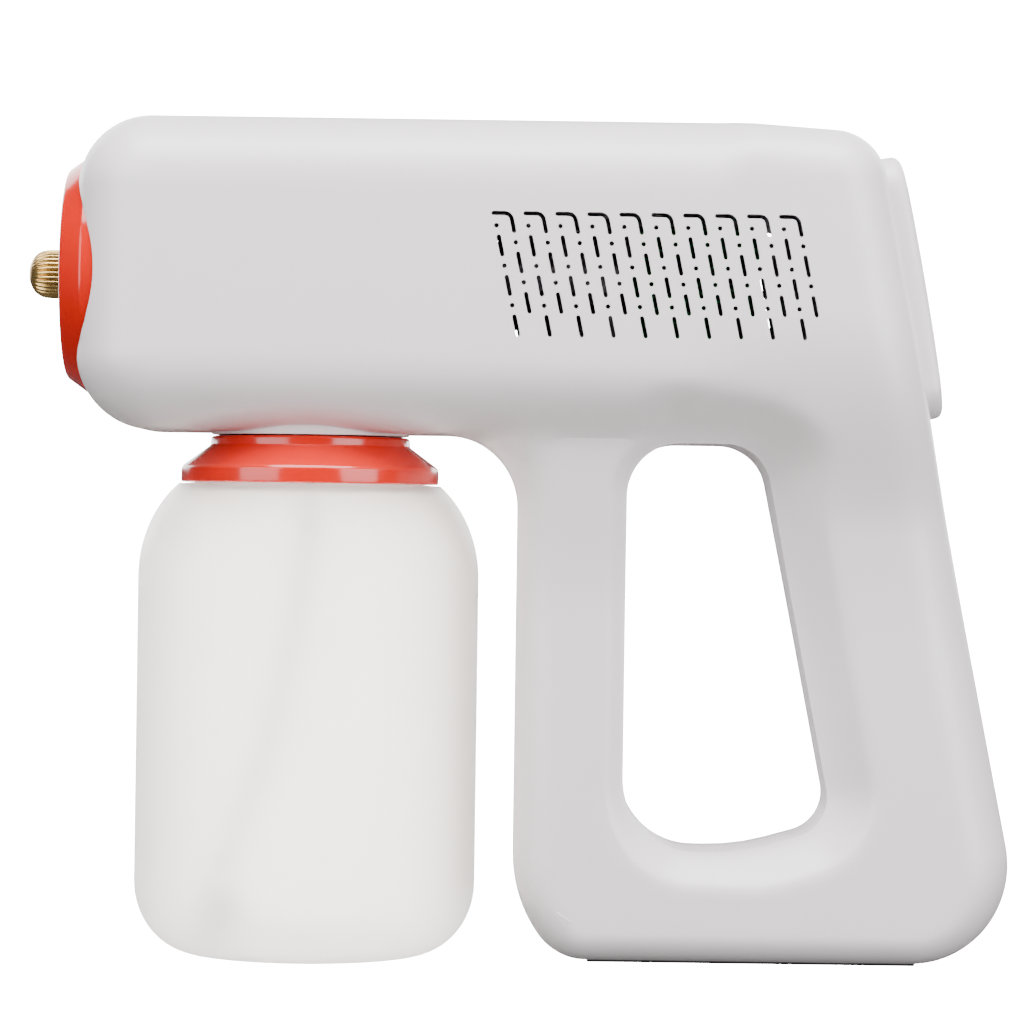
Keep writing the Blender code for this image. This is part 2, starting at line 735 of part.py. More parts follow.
def nozzle_stem():
    """The fixed stem that the nozzle cap screws on, with its shoulder behind the front cap."""
    profile = [(3.6, 129.8), (3.6, 118.9), (7.4, 118.9), (7.4, 112.0), (3.0, 111.5), (3.0, 103.0),
               (1.2, 103.0), (1.2, 129.8)]
    return turned_forward("nozzle_stem", profile, "brass", steps=16)


def nozzle_seal():
    profile = [(4.9, 126.1), (4.9, 124.9), (3.95, 124.9), (3.95, 126.1)]
    return turned_forward("nozzle_seal", profile, "dark_rubber", steps=16)


def nozzle_cap():
    """The knurled cap: rings of points around its axis, with straight grooves in its side."""
    levels = [(NOZZLE_TIP, 0.9, 0), (NOZZLE_TIP - 0.3, 2.6, 0), (134.0, 5.0, 0.1),
              (131.8, 6.45, 0.45), (129.6, NOZZLE_R, 0.5), (122.9, NOZZLE_R, 0.5), (122.4, 6.2, 0),
              (122.4, 4.0, 0), (124.5, 4.0, 0), (124.5, 5.2, 0), (126.5, 5.2, 0), (126.5, 4.0, 0),
              (130.7, 4.0, 0), (131.2, 0.6, 0)]
    shape = bmesh.new()
    sides = 2 * GROOVES
    rings = []
    for height, radius, groove in levels:
        row = []
        for i in range(sides):
            angle = 2 * math.pi * i / sides
            r = radius - groove * (i % 2)
            row.append(shape.verts.new((-height * MM, r * math.sin(angle) * MM,
                                        (AXIS_Z + r * math.cos(angle)) * MM)))
        rings.append(row)
    for lower, upper in zip(rings, rings[1:] + rings[:1]):
        for i in range(sides):
            shape.faces.new((lower[i], lower[(i + 1) % sides], upper[(i + 1) % sides], upper[i]))
    bmesh.ops.recalc_face_normals(shape, faces=shape.faces)
    mesh = bpy.data.meshes.new("nozzle_cap")
    shape.to_mesh(mesh)
    shape.free()
    cap = place("nozzle_cap", mesh, "brass")
    set_origin(cap, (-NOZZLE_TIP, 0, AXIS_Z))
    return cap


def set_origin(piece, origin):
    """Move a piece's origin, keeping its shape where it is."""
    offset = Vector(origin) * MM
    piece.data.transform(Matrix.Translation(-offset))
    piece.location = offset


# ---------------------------------------------------------------- bottle and neck

def neck_collar():
    profile = [(29.8, 154.0), (29.8, 151.8), (27.3, 151.8), (27.3, 143.2), (22.0, 143.2), (22.0, 154.0)]
    return turned("neck_collar", profile, "white", (BOTTLE_X, 0, 0), steps=32)


def bottle_ring():
    """The coloured ring under the body, with the female thread that holds the bottle."""
    profile = [(27.0, 142.9), (27.4, 142.5), (27.4, 140.3), (35.2, 134.6), (35.6, 134.0), (35.6, 130.3),
               (35.3, 130.0), (RING_BORE, 130.0), (RING_BORE, 141.2), (12.0, 141.2), (12.0, 142.9)]
    ring = turned("bottle_ring", profile, "orange", (BOTTLE_X, 0, 0), steps=32)
    thread = screw_thread("ring_thread", RING_BORE + 0.4, RING_BORE - THREAD_HEIGHT - 0.4, 133.2, 1.25,
                          "orange", BOTTLE_X)
    join(ring, thread)
    return ring


def bottle():
    """The hollow bottle: inner wall up from the base, over the lip, and down the outer side."""
    inner = BOTTLE_WALL
    profile = [(0.0, 4.0), (17.0, 4.0), (24.0, inner)]
    profile += arc(29.1, 20.0, 18.0 - inner, 20.0 - inner, -90, 0, 5)
    profile += arc(20.1, 104.0, 27.0 - inner, 32.0 - inner, 0, 52.3, 4)
    profile += [(22.4, 127.9), (22.4, LIP_Z), (NECK_R, LIP_Z), (NECK_R, 129.7)]
    profile += arc(20.1, 104.0, 27.0, 32.0, 53.4, 0, 5)
    profile += arc(29.1, 20.0, 18.0, 20.0, 0, -90, 6)
    profile += [(24.0, 0.0), (18.0, 2.2), (0.0, 2.2)]
    body = turned("bottle", profile, "frosted", (BOTTLE_X, 0, 0), steps=32, closed=False)
    join(body, screw_thread("bottle_thread", NECK_R - 0.4, NECK_R + THREAD_HEIGHT, 131.2, 1.25, "frosted",
                            BOTTLE_X))
    return body


def bottle_gasket():
    profile = [(24.4, 140.9), (24.4, 139.9), (19.5, 139.9), (19.5, 140.9)]
    return turned("bottle_gasket", profile, "grey_rubber", (BOTTLE_X, 0, 0), steps=28)


def bottle_adapter():
    """The spigot that closes the bottle's mouth: dip tube socket below, hose nipple above."""
    profile = [(2.9, 156.0), (2.9, 148.5), (7.5, 147.0), (15.5, 146.0), (15.5, 143.2), (11.7, 143.2),
               (11.7, 138.6), (5.4, 137.0), (5.4, 130.0), (3.5, 130.0), (3.5, 138.8), (1.7, 138.8),
               (1.7, 156.0)]
    return turned("bottle_adapter", profile, "grey", (BOTTLE_X, 0, 0), steps=20)


def dip_tube():
    route = [(BOTTLE_X, 0, 138.3), (BOTTLE_X, 0, 128), (BOTTLE_X - 0.6, 0, 112), (-62.0, 0, 84),
             (-68.5, 0, 55), (-76.5, 0, 32), (-80.6, 0, 20), (-80.8, 0, 9.6)]
    return hose("dip_tube", route, 3.1, "frosted", spacing=11.0, wall=0.9, resolution=1)


def dip_filter():
    profile = [(0.0, 8.0), (3.7, 8.0), (3.7, 16.0), (5.0, 16.0), (5.5, 15.0), (5.5, 5.8), (4.6, 4.8),
               (0.0, 4.8)]
    return turned("dip_filter", profile, "grey", (-80.8, 0, 0), steps=14, closed=False)


# ---------------------------------------------------------------- pump, hoses and electrics

def pump_motor():
    profile = [(13.2, 6.0), (13.8, 5.4), (13.8, -29.4), (13.2, -30.0), (2.0, -30.0), (2.0, 6.0)]
    return turned_forward("pump_motor", profile, "steel", steps=24)


def pump_cam():
    """The motor's shaft with the eccentric that drives the pump's diaphragm."""
    cam = turned_forward("pump_cam", [(1.6, 28.0), (1.6, -29.0), (0.4, -29.0), (0.4, 28.0)], "steel", 12)
    join(cam, rod("cam_disc", 6.3, 7.0, (-23.5, 0, AXIS_Z - 1.5), "steel", "X", sides=16))
    return cam


def pump_head():
    head = box("pump_head", (28.0, 32.0, 33.0), (-32.0, 0, 186.5), "dark", rounding=1.5)
    join(head, rod("pump_inlet", 2.9, 6.0, (-47.0, 0, 177.5), "dark", "X", sides=16))
    join(head, rod("pump_outlet", 2.9, 8.0, (-49.0, 0, 195.0), "dark", "X", sides=16))
    cut(head, rod("pump_chamber", 9.5, 16.0, (-22.0, 0, AXIS_Z), "dark", "X"))
    return head


def pump_cradle():
    """The tray under the pump, with a saddle for the motor."""
    cradle = box("pump_cradle", (78.0, 26.0, 2.6), (-7.0, 0, 167.4), "grey")
    join(cradle, box("cradle_saddle", (4.0, 26.0, 12.0), (26.0, 0, 173.5), "grey"))
    cut(cradle, rod("saddle_seat", 14.1, 20.0, (26.0, 0, AXIS_Z), "grey", "X", sides=32))
    return cradle


def inlet_hose():
    route = [(BOTTLE_X, 0, 156.4), (BOTTLE_X, 0, 162), (BOTTLE_X, 0, 168), (-56.5, 0, 172.8),
             (-54.7, 0, 176.1), (-52.6, 0, 177.4), (-51.4, 0, 177.5), (-50.4, 0, 177.5)]
    return hose("inlet_hose", route, 3.2, "clear_hose", spacing=4.0, wall=0.9, resolution=1)


def outlet_hose():
    route = [(-53.3, 0, 195.0), (-64, 0, 194.6), (-80, 0, 190.0), (-94, 0, 187.3), (-102.7, 0, AXIS_Z)]
    return hose("outlet_hose", route, 3.0, "clear_hose", spacing=8.0, wall=0.9, resolution=1)


def high_voltage_module():
    return box("high_voltage_module", (36.0, 22.0, 15.0), (-68.0, 0, 213.5), "dark", rounding=1.0)


def high_voltage_lead():
    route = [(-87.2, 0, 208.0), (-90.4, 0, 202.9), (-97, 0, 199.8), (-106, 0, 198.8), (-112, 0, 197.8),
             (-114.6, 0, 195.7)]
    return hose("high_voltage_lead", route, 0.9, "red_wire", spacing=4.0, resolution=2)


def control_board():
    board = box("control_board", (46.0, 1.6, 30.0), (54.0, 24.0, 184.0), "board")
    for number, (x, z, width, height) in enumerate([(44.0, 190.0, 12.0, 10.0), (62.0, 178.0, 9.0, 9.0),
                                                    (66.0, 192.0, 6.0, 8.0)]):
        join(board, box(f"board_chip_{number}", (width, 4.0, height), (x, 22.0, z), "dark"))
    return board


def cell_centre(across):
    """Centre of a battery cell in the handle, at a depth across the grip from its rear edge."""
    return on_rear(CELL_Z, -across)


def battery_cells():
    for number, across in enumerate(CELL_DEPTHS, start=1):
        cell = rod(f"battery_cell_{number}", CELL_R, CELL_LENGTH, cell_centre(across), "cell_wrap",
                   turn=-FORWARD_LEAN, sides=20)
        bevel(cell, 0.6, 1)


def battery_holder():
    x, _, z = cell_centre(sum(CELL_DEPTHS) / 2)
    holder = box("battery_holder", (38.0, 10.0, 66.0), (x, 5.5, z), "grey", turn=-FORWARD_LEAN)
    for number, across in enumerate(CELL_DEPTHS, start=1):
        cut(holder, rod(f"cell_pocket_{number}", CELL_R + CLEAR, 80.0, cell_centre(across), "grey",
                        turn=-FORWARD_LEAN, sides=20))
    return holder


def housing_screws():
    """Screws put in from the right: heads sunk in the right shell, shanks in the left one's bosses."""
    for number, (x, z) in enumerate(SCREWS, start=1):
        profile = [(0.0, 11.4), (2.6, 11.4), (3.2, 10.6), (3.2, 9.3), (SCREW_SHANK_R, 9.3),
                   (SCREW_SHANK_R, -7.6), (0.0, -8.6)]
        screw = turned(f"housing_screw_{number}", profile, "steel", (x, 0, z), steps=12, closed=False)
        screw.rotation_euler = (-math.pi / 2, 0.0, 0.0)
        for turn in (0.0, math.pi / 2):
            slot = box(f"screw_{number}_slot_{turn:.0f}", (3.6, 2.4, 0.8), (x, 11.4, z), "steel", turn=turn)
            cut(screw, slot)


FINISHES = {
    "white": ((0.80, 0.79, 0.79), 0.38, 0.0, 1.0),
    "orange": ((0.82, 0.07, 0.01), 0.15, 0.0, 1.0),
    "frosted": ((0.84, 0.83, 0.80), 0.55, 0.0, 0.6),
    "brass": ((0.62, 0.42, 0.16), 0.3, 1.0, 1.0),
    "steel": ((0.55, 0.56, 0.58), 0.3, 1.0, 1.0),
    "dark": ((0.03, 0.03, 0.032), 0.5, 0.0, 1.0),
    "grey": ((0.45, 0.45, 0.46), 0.45, 0.0, 1.0),
    "dark_rubber": ((0.03, 0.03, 0.03), 0.8, 0.0, 1.0),
    "grey_rubber": ((0.6, 0.6, 0.6), 0.75, 0.0, 1.0),
    "lens": ((0.75, 0.85, 0.95), 0.15, 0.0, 0.7),
    "board": ((0.02, 0.16, 0.07), 0.45, 0.0, 1.0),
    "clear_hose": ((0.8, 0.8, 0.78), 0.3, 0.0, 0.7),
    "red_wire": ((0.5, 0.03, 0.02), 0.5, 0.0, 1.0),
    "cell_wrap": ((0.05, 0.2, 0.45), 0.35, 0.0, 1.0),
}

clear_scene()
FINISH = {name: new_material(name, *values) for name, values in FINISHES.items()}
PIECES = new_collection("disinfectant_sprayer")
CUTTERS = new_collection("cutters")

housing_half("housing_left", -1)
housing_half("housing_right", 1)
for build in (base_pad, rear_panel, spray_button, button_spring, button_switch, battery_window,
              socket_cover, charging_socket, front_cap, lens_ring, led_board, nozzle_stem, nozzle_seal,
              nozzle_cap, neck_collar, bottle_ring, bottle, bottle_gasket, bottle_adapter, dip_tube,
              dip_filter, pump_motor, pump_cam, pump_head, pump_cradle, inlet_hose, outlet_hose,
              high_voltage_module, high_voltage_lead, control_board, battery_cells, battery_holder,
              housing_screws):
    build()
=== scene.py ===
"""The looks of the cordless disinfectant sprayer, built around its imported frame.

Shapes are in millimetres in the frame's axes and become metres where a mesh is made.
"""
import math

import bmesh
import bpy
import numpy as np
from mathutils import Matrix, Vector
from mathutils.geometry import delaunay_2d_cdt


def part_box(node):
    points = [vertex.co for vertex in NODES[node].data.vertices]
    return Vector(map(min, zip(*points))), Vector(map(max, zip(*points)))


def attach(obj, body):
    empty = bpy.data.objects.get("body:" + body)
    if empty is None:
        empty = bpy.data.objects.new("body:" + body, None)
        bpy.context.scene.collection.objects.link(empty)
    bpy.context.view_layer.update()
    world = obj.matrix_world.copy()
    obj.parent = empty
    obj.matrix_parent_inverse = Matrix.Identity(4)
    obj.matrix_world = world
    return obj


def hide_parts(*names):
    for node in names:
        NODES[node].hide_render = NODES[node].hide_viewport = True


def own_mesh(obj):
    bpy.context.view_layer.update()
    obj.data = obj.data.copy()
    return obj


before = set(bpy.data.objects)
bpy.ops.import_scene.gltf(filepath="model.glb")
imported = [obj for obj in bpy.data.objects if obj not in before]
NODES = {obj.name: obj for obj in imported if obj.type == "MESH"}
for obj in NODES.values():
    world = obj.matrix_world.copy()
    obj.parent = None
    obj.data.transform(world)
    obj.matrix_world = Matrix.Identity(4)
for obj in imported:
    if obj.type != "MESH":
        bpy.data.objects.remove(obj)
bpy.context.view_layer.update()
MM = 0.001

# ---------------------------------------------------------------- sizes, read from the frame

def box_mm(node):
    low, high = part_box(node)
    return Vector(low) * 1000, Vector(high) * 1000


def middle(node):
    low, high = box_mm(node)
    return (low + high) / 2


BOTTLE_X = middle("bottle").x
AXIS_Z = middle("nozzle_cap").z
NOZZLE_TIP = -box_mm("nozzle_cap")[0].x
CAP_BASE_R = (box_mm("front_cap")[1] - box_mm("front_cap")[0]).z / 2
CAP_FRONT = -box_mm("front_cap")[0].x
RING_TOP = box_mm("bottle_ring")[1].z
RING_R = (box_mm("bottle_ring")[1] - box_mm("bottle_ring")[0]).y / 2
LIP_Z = box_mm("bottle")[1].z
FRONT_X = box_mm("housing_left")[0].x
TOP_Z = box_mm("housing_left")[1].z
BASE_Z = box_mm("housing_left")[0].z

BELLY_Z = 143.9
COLUMN_X = 0.4
LEAN = 0.2016            # the rear edge runs this far forward per unit of height
REAR_X = 142.7           # the rear edge's line at Z = 0
BARREL_HALF = 39.0
GRIP_HALF = 22.0
WALL = 2.3
SEAM = 0.12              # half the gap between the two shells
BLEND_Z = (118.0, 178.0)  # heights between which the handle widens into the barrel at the rear
LEAN_ANGLE = math.atan(LEAN)
PANEL_Z = 185.3
BUTTON_Z = 199.0
BUTTON_R = 7.2
WINDOW_Z = 172.0
SOCKET_Z = 54.0
SKIRT_END = 107.5        # how far back the front cap's skirt reaches
SKIRT_INNER_R = 31.0
COLLAR_HOLE_R = 27.6
BUTTON_HOLE_R = 9.5
SCREWS = [(-97.0, 209.0), (-97.0, 164.0), (74.0, 208.0), (14.0, 62.0), (108.0, 17.0)]
SCREW_RECESS_R = 3.6
SCREW_HOLE_R = 1.8
SLEEVE_R = 5.2

VENT_UNITS = 10
VENT_PITCH = 8.56
VENT_LEAN = 0.21
VENT_HALF = 0.59         # half the width of a slot
DOT_R = 0.66

GROOVES = 30             # around the nozzle cap
THREAD_PITCH = 4.0
THREAD_TURNS = 1.25
BOTTLE_WALL = 1.8
DOMES = 8
DOME_CIRCLE_R = 18.0
DOME_R = 2.4


# ---------------------------------------------------------------- materials

def principled(name, color, roughness, metallic=0.0):
    made = bpy.data.materials.new(name)
    made.use_nodes = True
    shader = made.node_tree.nodes["Principled BSDF"]
    shader.inputs["Base Color"].default_value = (*color, 1.0)
    shader.inputs["Roughness"].default_value = roughness
    shader.inputs["Metallic"].default_value = metallic
    return made, made.node_tree, shader


def object_coordinates(tree, stretch=(1.0, 1.0, 1.0)):
    source = tree.nodes.new("ShaderNodeTexCoord")
    mapping = tree.nodes.new("ShaderNodeMapping")
    mapping.inputs["Scale"].default_value = stretch
    tree.links.new(source.outputs["Object"], mapping.inputs["Vector"])
    return mapping.outputs["Vector"]


def noise(tree, vector, scale, detail=3.0, roughness=0.55):
    texture = tree.nodes.new("ShaderNodeTexNoise")
    texture.inputs["Scale"].default_value = scale
    texture.inputs["Detail"].default_value = detail
    texture.inputs["Roughness"].default_value = roughness
    tree.links.new(vector, texture.inputs["Vector"])
    return texture.outputs["Fac"]


def ramp(tree, value, stops):
    node = tree.nodes.new("ShaderNodeValToRGB")
    first, last = node.color_ramp.elements
    first.position, first.color = stops[0][0], (*stops[0][1], 1.0)
    last.position, last.color = stops[-1][0], (*stops[-1][1], 1.0)
    for position, color in stops[1:-1]:
        node.color_ramp.elements.new(position).color = (*color, 1.0)
    tree.links.new(value, node.inputs["Fac"])
    return node.outputs["Color"]


def between(tree, value, low, high):
    node = tree.nodes.new("ShaderNodeMapRange")
    node.inputs["To Min"].default_value = low
    node.inputs["To Max"].default_value = high
    tree.links.new(value, node.inputs["Value"])
    return node.outputs["Result"]


def bump(tree, shader, height, depth, strength=1.0):
    node = tree.nodes.new("ShaderNodeBump")
    node.inputs["Distance"].default_value = depth
    node.inputs["Strength"].default_value = strength
    tree.links.new(height, node.inputs["Height"])
    tree.links.new(node.outputs["Normal"], shader.inputs["Normal"])


def tinted(color, factor):
    return tuple(min(1.0, c * factor) for c in color)


def moulded(name, color, roughness, grain=2600.0, depth=0.00001, spread=0.02, coat=0.0):
    """Injection-moulded plastic: a fine spark grain, faint flow marks in tone, uneven gloss."""
    made, tree, shader = principled(name, color, roughness)
    vector = object_coordinates(tree)
    flow = noise(tree, vector, 22.0, 2.0)
    tree.links.new(ramp(tree, flow, [(0.3, tinted(color, 1 - spread)), (0.7, tinted(color, 1 + spread))]),
                   shader.inputs["Base Color"])
    smudge = noise(tree, vector, 60.0, 4.0, 0.65)
    tree.links.new(between(tree, smudge, roughness * 0.82, roughness * 1.18), shader.inputs["Roughness"])
    bump(tree, shader, noise(tree, vector, grain, 2.0), depth)
    shader.inputs["Coat Weight"].default_value = coat
    shader.inputs["Coat Roughness"].default_value = 0.08
    return made


def frosted():
    """Blown translucent plastic: light passes, shapes behind it blur, the wall is slightly uneven."""
    color = (0.68, 0.648, 0.62)
    made, tree, shader = principled("frosted_plastic", color, 0.4)
    vector = object_coordinates(tree, (1.0, 1.0, 0.35))
    cloud = noise(tree, vector, 30.0, 3.0)
    tree.links.new(ramp(tree, cloud, [(0.3, tinted(color, 0.975)), (0.7, tinted(color, 1.01))]),
                   shader.inputs["Base Color"])
    tree.links.new(between(tree, noise(tree, vector, 90.0), 0.34, 0.44), shader.inputs["Roughness"])
    bump(tree, shader, noise(tree, vector, 1500.0, 2.0), 0.000015)
    shader.inputs["Transmission Weight"].default_value = 0.8
    shader.inputs["IOR"].default_value = 1.4
    return made


def clear_tube():
    color = (0.86, 0.86, 0.84)
    made, tree, shader = principled("semi_clear_hose", color, 0.25)
    cloud = noise(tree, object_coordinates(tree), 140.0)
    tree.links.new(ramp(tree, cloud, [(0.3, tinted(color, 0.93)), (0.7, color)]), shader.inputs["Base Color"])
    tree.links.new(between(tree, cloud, 0.2, 0.32), shader.inputs["Roughness"])
    shader.inputs["Transmission Weight"].default_value = 0.45
    return made


def metal(name, color, roughness, stretch):
    """Worked metal: tool marks along one direction and faint tarnish."""
    made, tree, shader = principled(name, color, roughness, 1.0)
    marks = noise(tree, object_coordinates(tree, stretch), 900.0, 2.0)
    patches = noise(tree, object_coordinates(tree), 160.0, 4.0)
    tree.links.new(ramp(tree, patches, [(0.3, tinted(color, 0.75)), (0.65, color)]),
                   shader.inputs["Base Color"])
    tree.links.new(between(tree, marks, roughness * 0.75, roughness * 1.3), shader.inputs["Roughness"])
    bump(tree, shader, marks, 0.00001)
    return made


def circuit_board():
    """Solder mask over faint copper tracks."""
    made, tree, shader = principled("circuit_board", (0.01, 0.13, 0.05), 0.35)
    vector = object_coordinates(tree)
    tracks = tree.nodes.new("ShaderNodeTexVoronoi")
    tracks.feature = "DISTANCE_TO_EDGE"
    tracks.distance = "MANHATTAN"
    tracks.inputs["Scale"].default_value = 230.0
    tree.links.new(vector, tracks.inputs["Vector"])
    tone = ramp(tree, tracks.outputs["Distance"], [(0.05, (0.03, 0.26, 0.09)), (0.09, (0.008, 0.10, 0.035))])
    tree.links.new(tone, shader.inputs["Base Color"])
    bump(tree, shader, tracks.outputs["Distance"], 0.00003, 0.5)
    return made


def glowing(name, strength):
    """A lit white surface."""
    made, tree, shader = principled(name, (0.93, 0.93, 0.93), 0.6)
    tone = noise(tree, object_coordinates(tree), 6.0)
    tree.links.new(ramp(tree, tone, [(0.3, (0.92, 0.92, 0.92)), (0.7, (0.94, 0.94, 0.94))]),
                   shader.inputs["Base Color"])
    shader.inputs["Emission Color"].default_value = (1.0, 1.0, 1.0, 1.0)
    shader.inputs["Emission Strength"].default_value = strength
    return made


WHITE = moulded("satin_shell", (0.81, 0.758, 0.772), 0.32, depth=0.000012, spread=0.006)
ORANGE = moulded("gloss_orange", (0.58, 0.007, 0.0003), 0.16, grain=700.0, depth=0.000003, spread=0.03,
                 coat=0.15)
FROSTED = frosted()
TUBE = clear_tube()
BRASS = metal("brass", (0.70, 0.46, 0.17), 0.26, (1.0, 6.0, 6.0))
STEEL = metal("steel", (0.56, 0.57, 0.59), 0.3, (8.0, 1.0, 1.0))
DARK = moulded("dark_plastic", (0.028, 0.028, 0.030), 0.45, spread=0.15)
GREY = moulded("grey_plastic", (0.42, 0.42, 0.43), 0.42, spread=0.03)
BLACK_RUBBER = moulded("black_rubber", (0.022, 0.022, 0.023), 0.75, grain=1800.0, depth=0.00004, spread=0.2)
GREY_RUBBER = moulded("grey_rubber", (0.55, 0.545, 0.55), 0.7, grain=1800.0, depth=0.00003, spread=0.04)
LENS = moulded("light_lens", (0.72, 0.80, 0.88), 0.12, grain=500.0, depth=0.000004, spread=0.02, coat=0.3)
RED_WIRE = moulded("red_insulation", (0.46, 0.025, 0.018), 0.45, spread=0.08)
CELL_WRAP = moulded("cell_wrap", (0.04, 0.16, 0.40), 0.28, grain=300.0, depth=0.00002, spread=0.06)
BOARD = circuit_board()


# ---------------------------------------------------------------- placing

def add(name, mesh, material, body, stands_for=(), smooth_angle=32.0):
    mesh.shade_smooth()
    mesh.set_sharp_from_angle(angle=math.radians(smooth_angle))
    mesh.materials.clear()
    mesh.materials.append(material)
    piece = bpy.data.objects.new(name, mesh)
    bpy.context.scene.collection.objects.link(piece)
    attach(piece, body)
    if stands_for:
        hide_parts(*stands_for)
    return piece


def to_mesh(shape, name):
    bmesh.ops.recalc_face_normals(shape, faces=shape.faces)
    mesh = bpy.data.meshes.new(name)
    shape.to_mesh(mesh)
    shape.free()
    return mesh


def on_rear(z, out, y=0.0):
    """A point on the leaning rear face at height z, moved outwards."""
    return Vector((REAR_X - LEAN * z + out * math.cos(LEAN_ANGLE), y, z + out * math.sin(LEAN_ANGLE)))


# ---------------------------------------------------------------- turned shapes

def arc(centre_r, centre_h, radius_r, radius_h, start, end, count):
    return [(centre_r + radius_r * math.cos(math.radians(a)), centre_h + radius_h * math.sin(math.radians(a)))
            for a in np.linspace(start, end, count)]


def eased(profile, radius, steps=3):
    """The closed profile with every corner cut to a small round."""
    points = [Vector(p) for p in profile]
    out = []
    for before, here, after in zip(points[-1:] + points[:-1], points, points[1:] + points[:1]):
        reach = min(radius, (before - here).length * 0.4, (after - here).length * 0.4)
        first = here + (before - here).normalized() * reach
        last = here + (after - here).normalized() * reach
        for step in range(steps + 1):
            t = step / steps
            out.append(tuple((1 - t) ** 2 * first + 2 * t * (1 - t) * here + t * t * last))
    return out


def lathe(name, profile, steps, axis_frame, closed=True, radial=None):
    """Rings of points round an axis. The frame turns (across, side, height) into a world point."""
    shape = bmesh.new()
    rings = []
    for index, (radius, height) in enumerate(profile):
        ring = []
        for step in range(steps):
            angle = 2 * math.pi * step / steps
            r = radius - (radial(index, angle) if radial else 0.0)
            ring.append(shape.verts.new(axis_frame(r * math.cos(angle), r * math.sin(angle), height) * MM))
        rings.append(ring)
    pairs = list(zip(rings, rings[1:])) + ([(rings[-1], rings[0])] if closed else [])
    for lower, upper in pairs:
        for i in range(steps):
            j = (i + 1) % steps
            shape.faces.new((lower[i], lower[j], upper[j], upper[i]))
    if not closed:
        shape.faces.new(rings[0])
        shape.faces.new(rings[-1])
    return to_mesh(shape, name)


def upright(across, side, height):
    return Vector((BOTTLE_X + across, side, height))


def forwards(across, side, height):
    return Vector((-height, side, AXIS_Z + across))


def from_rear(z):
    """A frame whose height axis stands out of the rear face at height z."""
    normal = Vector((math.cos(LEAN_ANGLE), 0.0, math.sin(LEAN_ANGLE)))
    up = Vector((-math.sin(LEAN_ANGLE), 0.0, math.cos(LEAN_ANGLE)))
    return lambda across, side, height: on_rear(z, 0.0) + up * across + Vector((0, side, 0)) + normal * height


# ---------------------------------------------------------------- body surface

def outline(corners, spacing, step_degrees):
    """A closed outline with rounded corners, anticlockwise, as rows of (x, z, value).

    Each corner is (x, z, radius, value); the value belongs to the edge that leaves the corner and
    blends from one edge's to the next around the corner.
    """
    parts = []
    total = len(corners)
    for index, (x, z, radius, value) in enumerate(corners):
        before = Vector(corners[index - 1][:2])
        here = Vector((x, z))
        after = Vector(corners[(index + 1) % total][:2])
        back = (before - here).normalized()
        ahead = (after - here).normalized()
        half = back.angle(ahead) / 2
        centre = here + (back + ahead).normalized() * radius / math.sin(half)
        a = (here + back * radius / math.tan(half) - centre).normalized()
        b = (here + ahead * radius / math.tan(half) - centre).normalized()
        sweep = math.pi - 2 * half
        count = max(2, round(math.degrees(sweep) / step_degrees))
        points = []
        for i in range(count + 1):
            share = i / count
            direction = (a * math.sin((1 - share) * sweep) + b * math.sin(share * sweep)) / math.sin(sweep)
            blend = share * share * (3 - 2 * share)
            mixed = corners[index - 1][3] * (1 - blend) + value * blend
            points.append((*(centre + direction * radius), mixed))
        parts.append(points)
    rows = []
    for index, points in enumerate(parts):
        rows.extend(points)
        start = points[-1]
        end = parts[(index + 1) % total][0]
        count = int(math.dist(start[:2], end[:2]) // spacing)
        for i in range(1, count + 1):
            share = i / (count + 1)
            rows.append((start[0] + (end[0] - start[0]) * share, start[1] + (end[1] - start[1]) * share,
                         start[2]))
    return np.array(rows)


def rear_line(z):
    return REAR_X - LEAN * z


BODY_CORNERS = [(FRONT_X, TOP_Z, 20.0, 19.0), (FRONT_X, BELLY_Z, 21.0, 20.0),
                (COLUMN_X, BELLY_Z, 20.0, 12.0), (COLUMN_X, 17.6, 38.0, 10.0), (12.2, BASE_Z, 16.0, 8.0),
                (rear_line(BASE_Z), BASE_Z, 27.0, 14.0), (rear_line(227.0), 227.0, 15.0, 14.0),
                (58.0, TOP_Z, 150.0, 19.0)]
BARREL_CORNERS = [(FRONT_X, TOP_Z, 20.0, 19.0), (FRONT_X, BELLY_Z, 21.0, 20.0),
                  (rear_line(BELLY_Z), BELLY_Z, 1.0, 14.0), (rear_line(227.0), 227.0, 15.0, 14.0),
                  (58.0, TOP_Z, 150.0, 19.0)]
LOOP_CORNERS = [(30.2, 142.2, 14.5, 4.5), (30.2, 31.0, 20.0, 9.0), (62.0, 30.6, 60.0, 11.0),
                (88.1, 38.0, 11.0, 12.5), (67.4, 142.2, 13.0, 4.5)]
OUTER = outline(BODY_CORNERS, 3.0, 4.0)
BARREL = outline(BARREL_CORNERS, 4.0, 4.0)
LOOP = outline(LOOP_CORNERS, 3.0, 5.0)


def inside(points, ring):
    start = ring[:, :2]
    end = np.roll(start, -1, axis=0)
    x = points[:, 0][:, None]
    z = points[:, 1][:, None]
    spans = (start[:, 1] > z) != (end[:, 1] > z)
    rise = np.where(end[:, 1] == start[:, 1], 1.0, end[:, 1] - start[:, 1])
    crossing = start[:, 0] + (z - start[:, 1]) / rise * (end[:, 0] - start[:, 0])
    return (spans & (x < crossing)).sum(axis=1) % 2 == 1


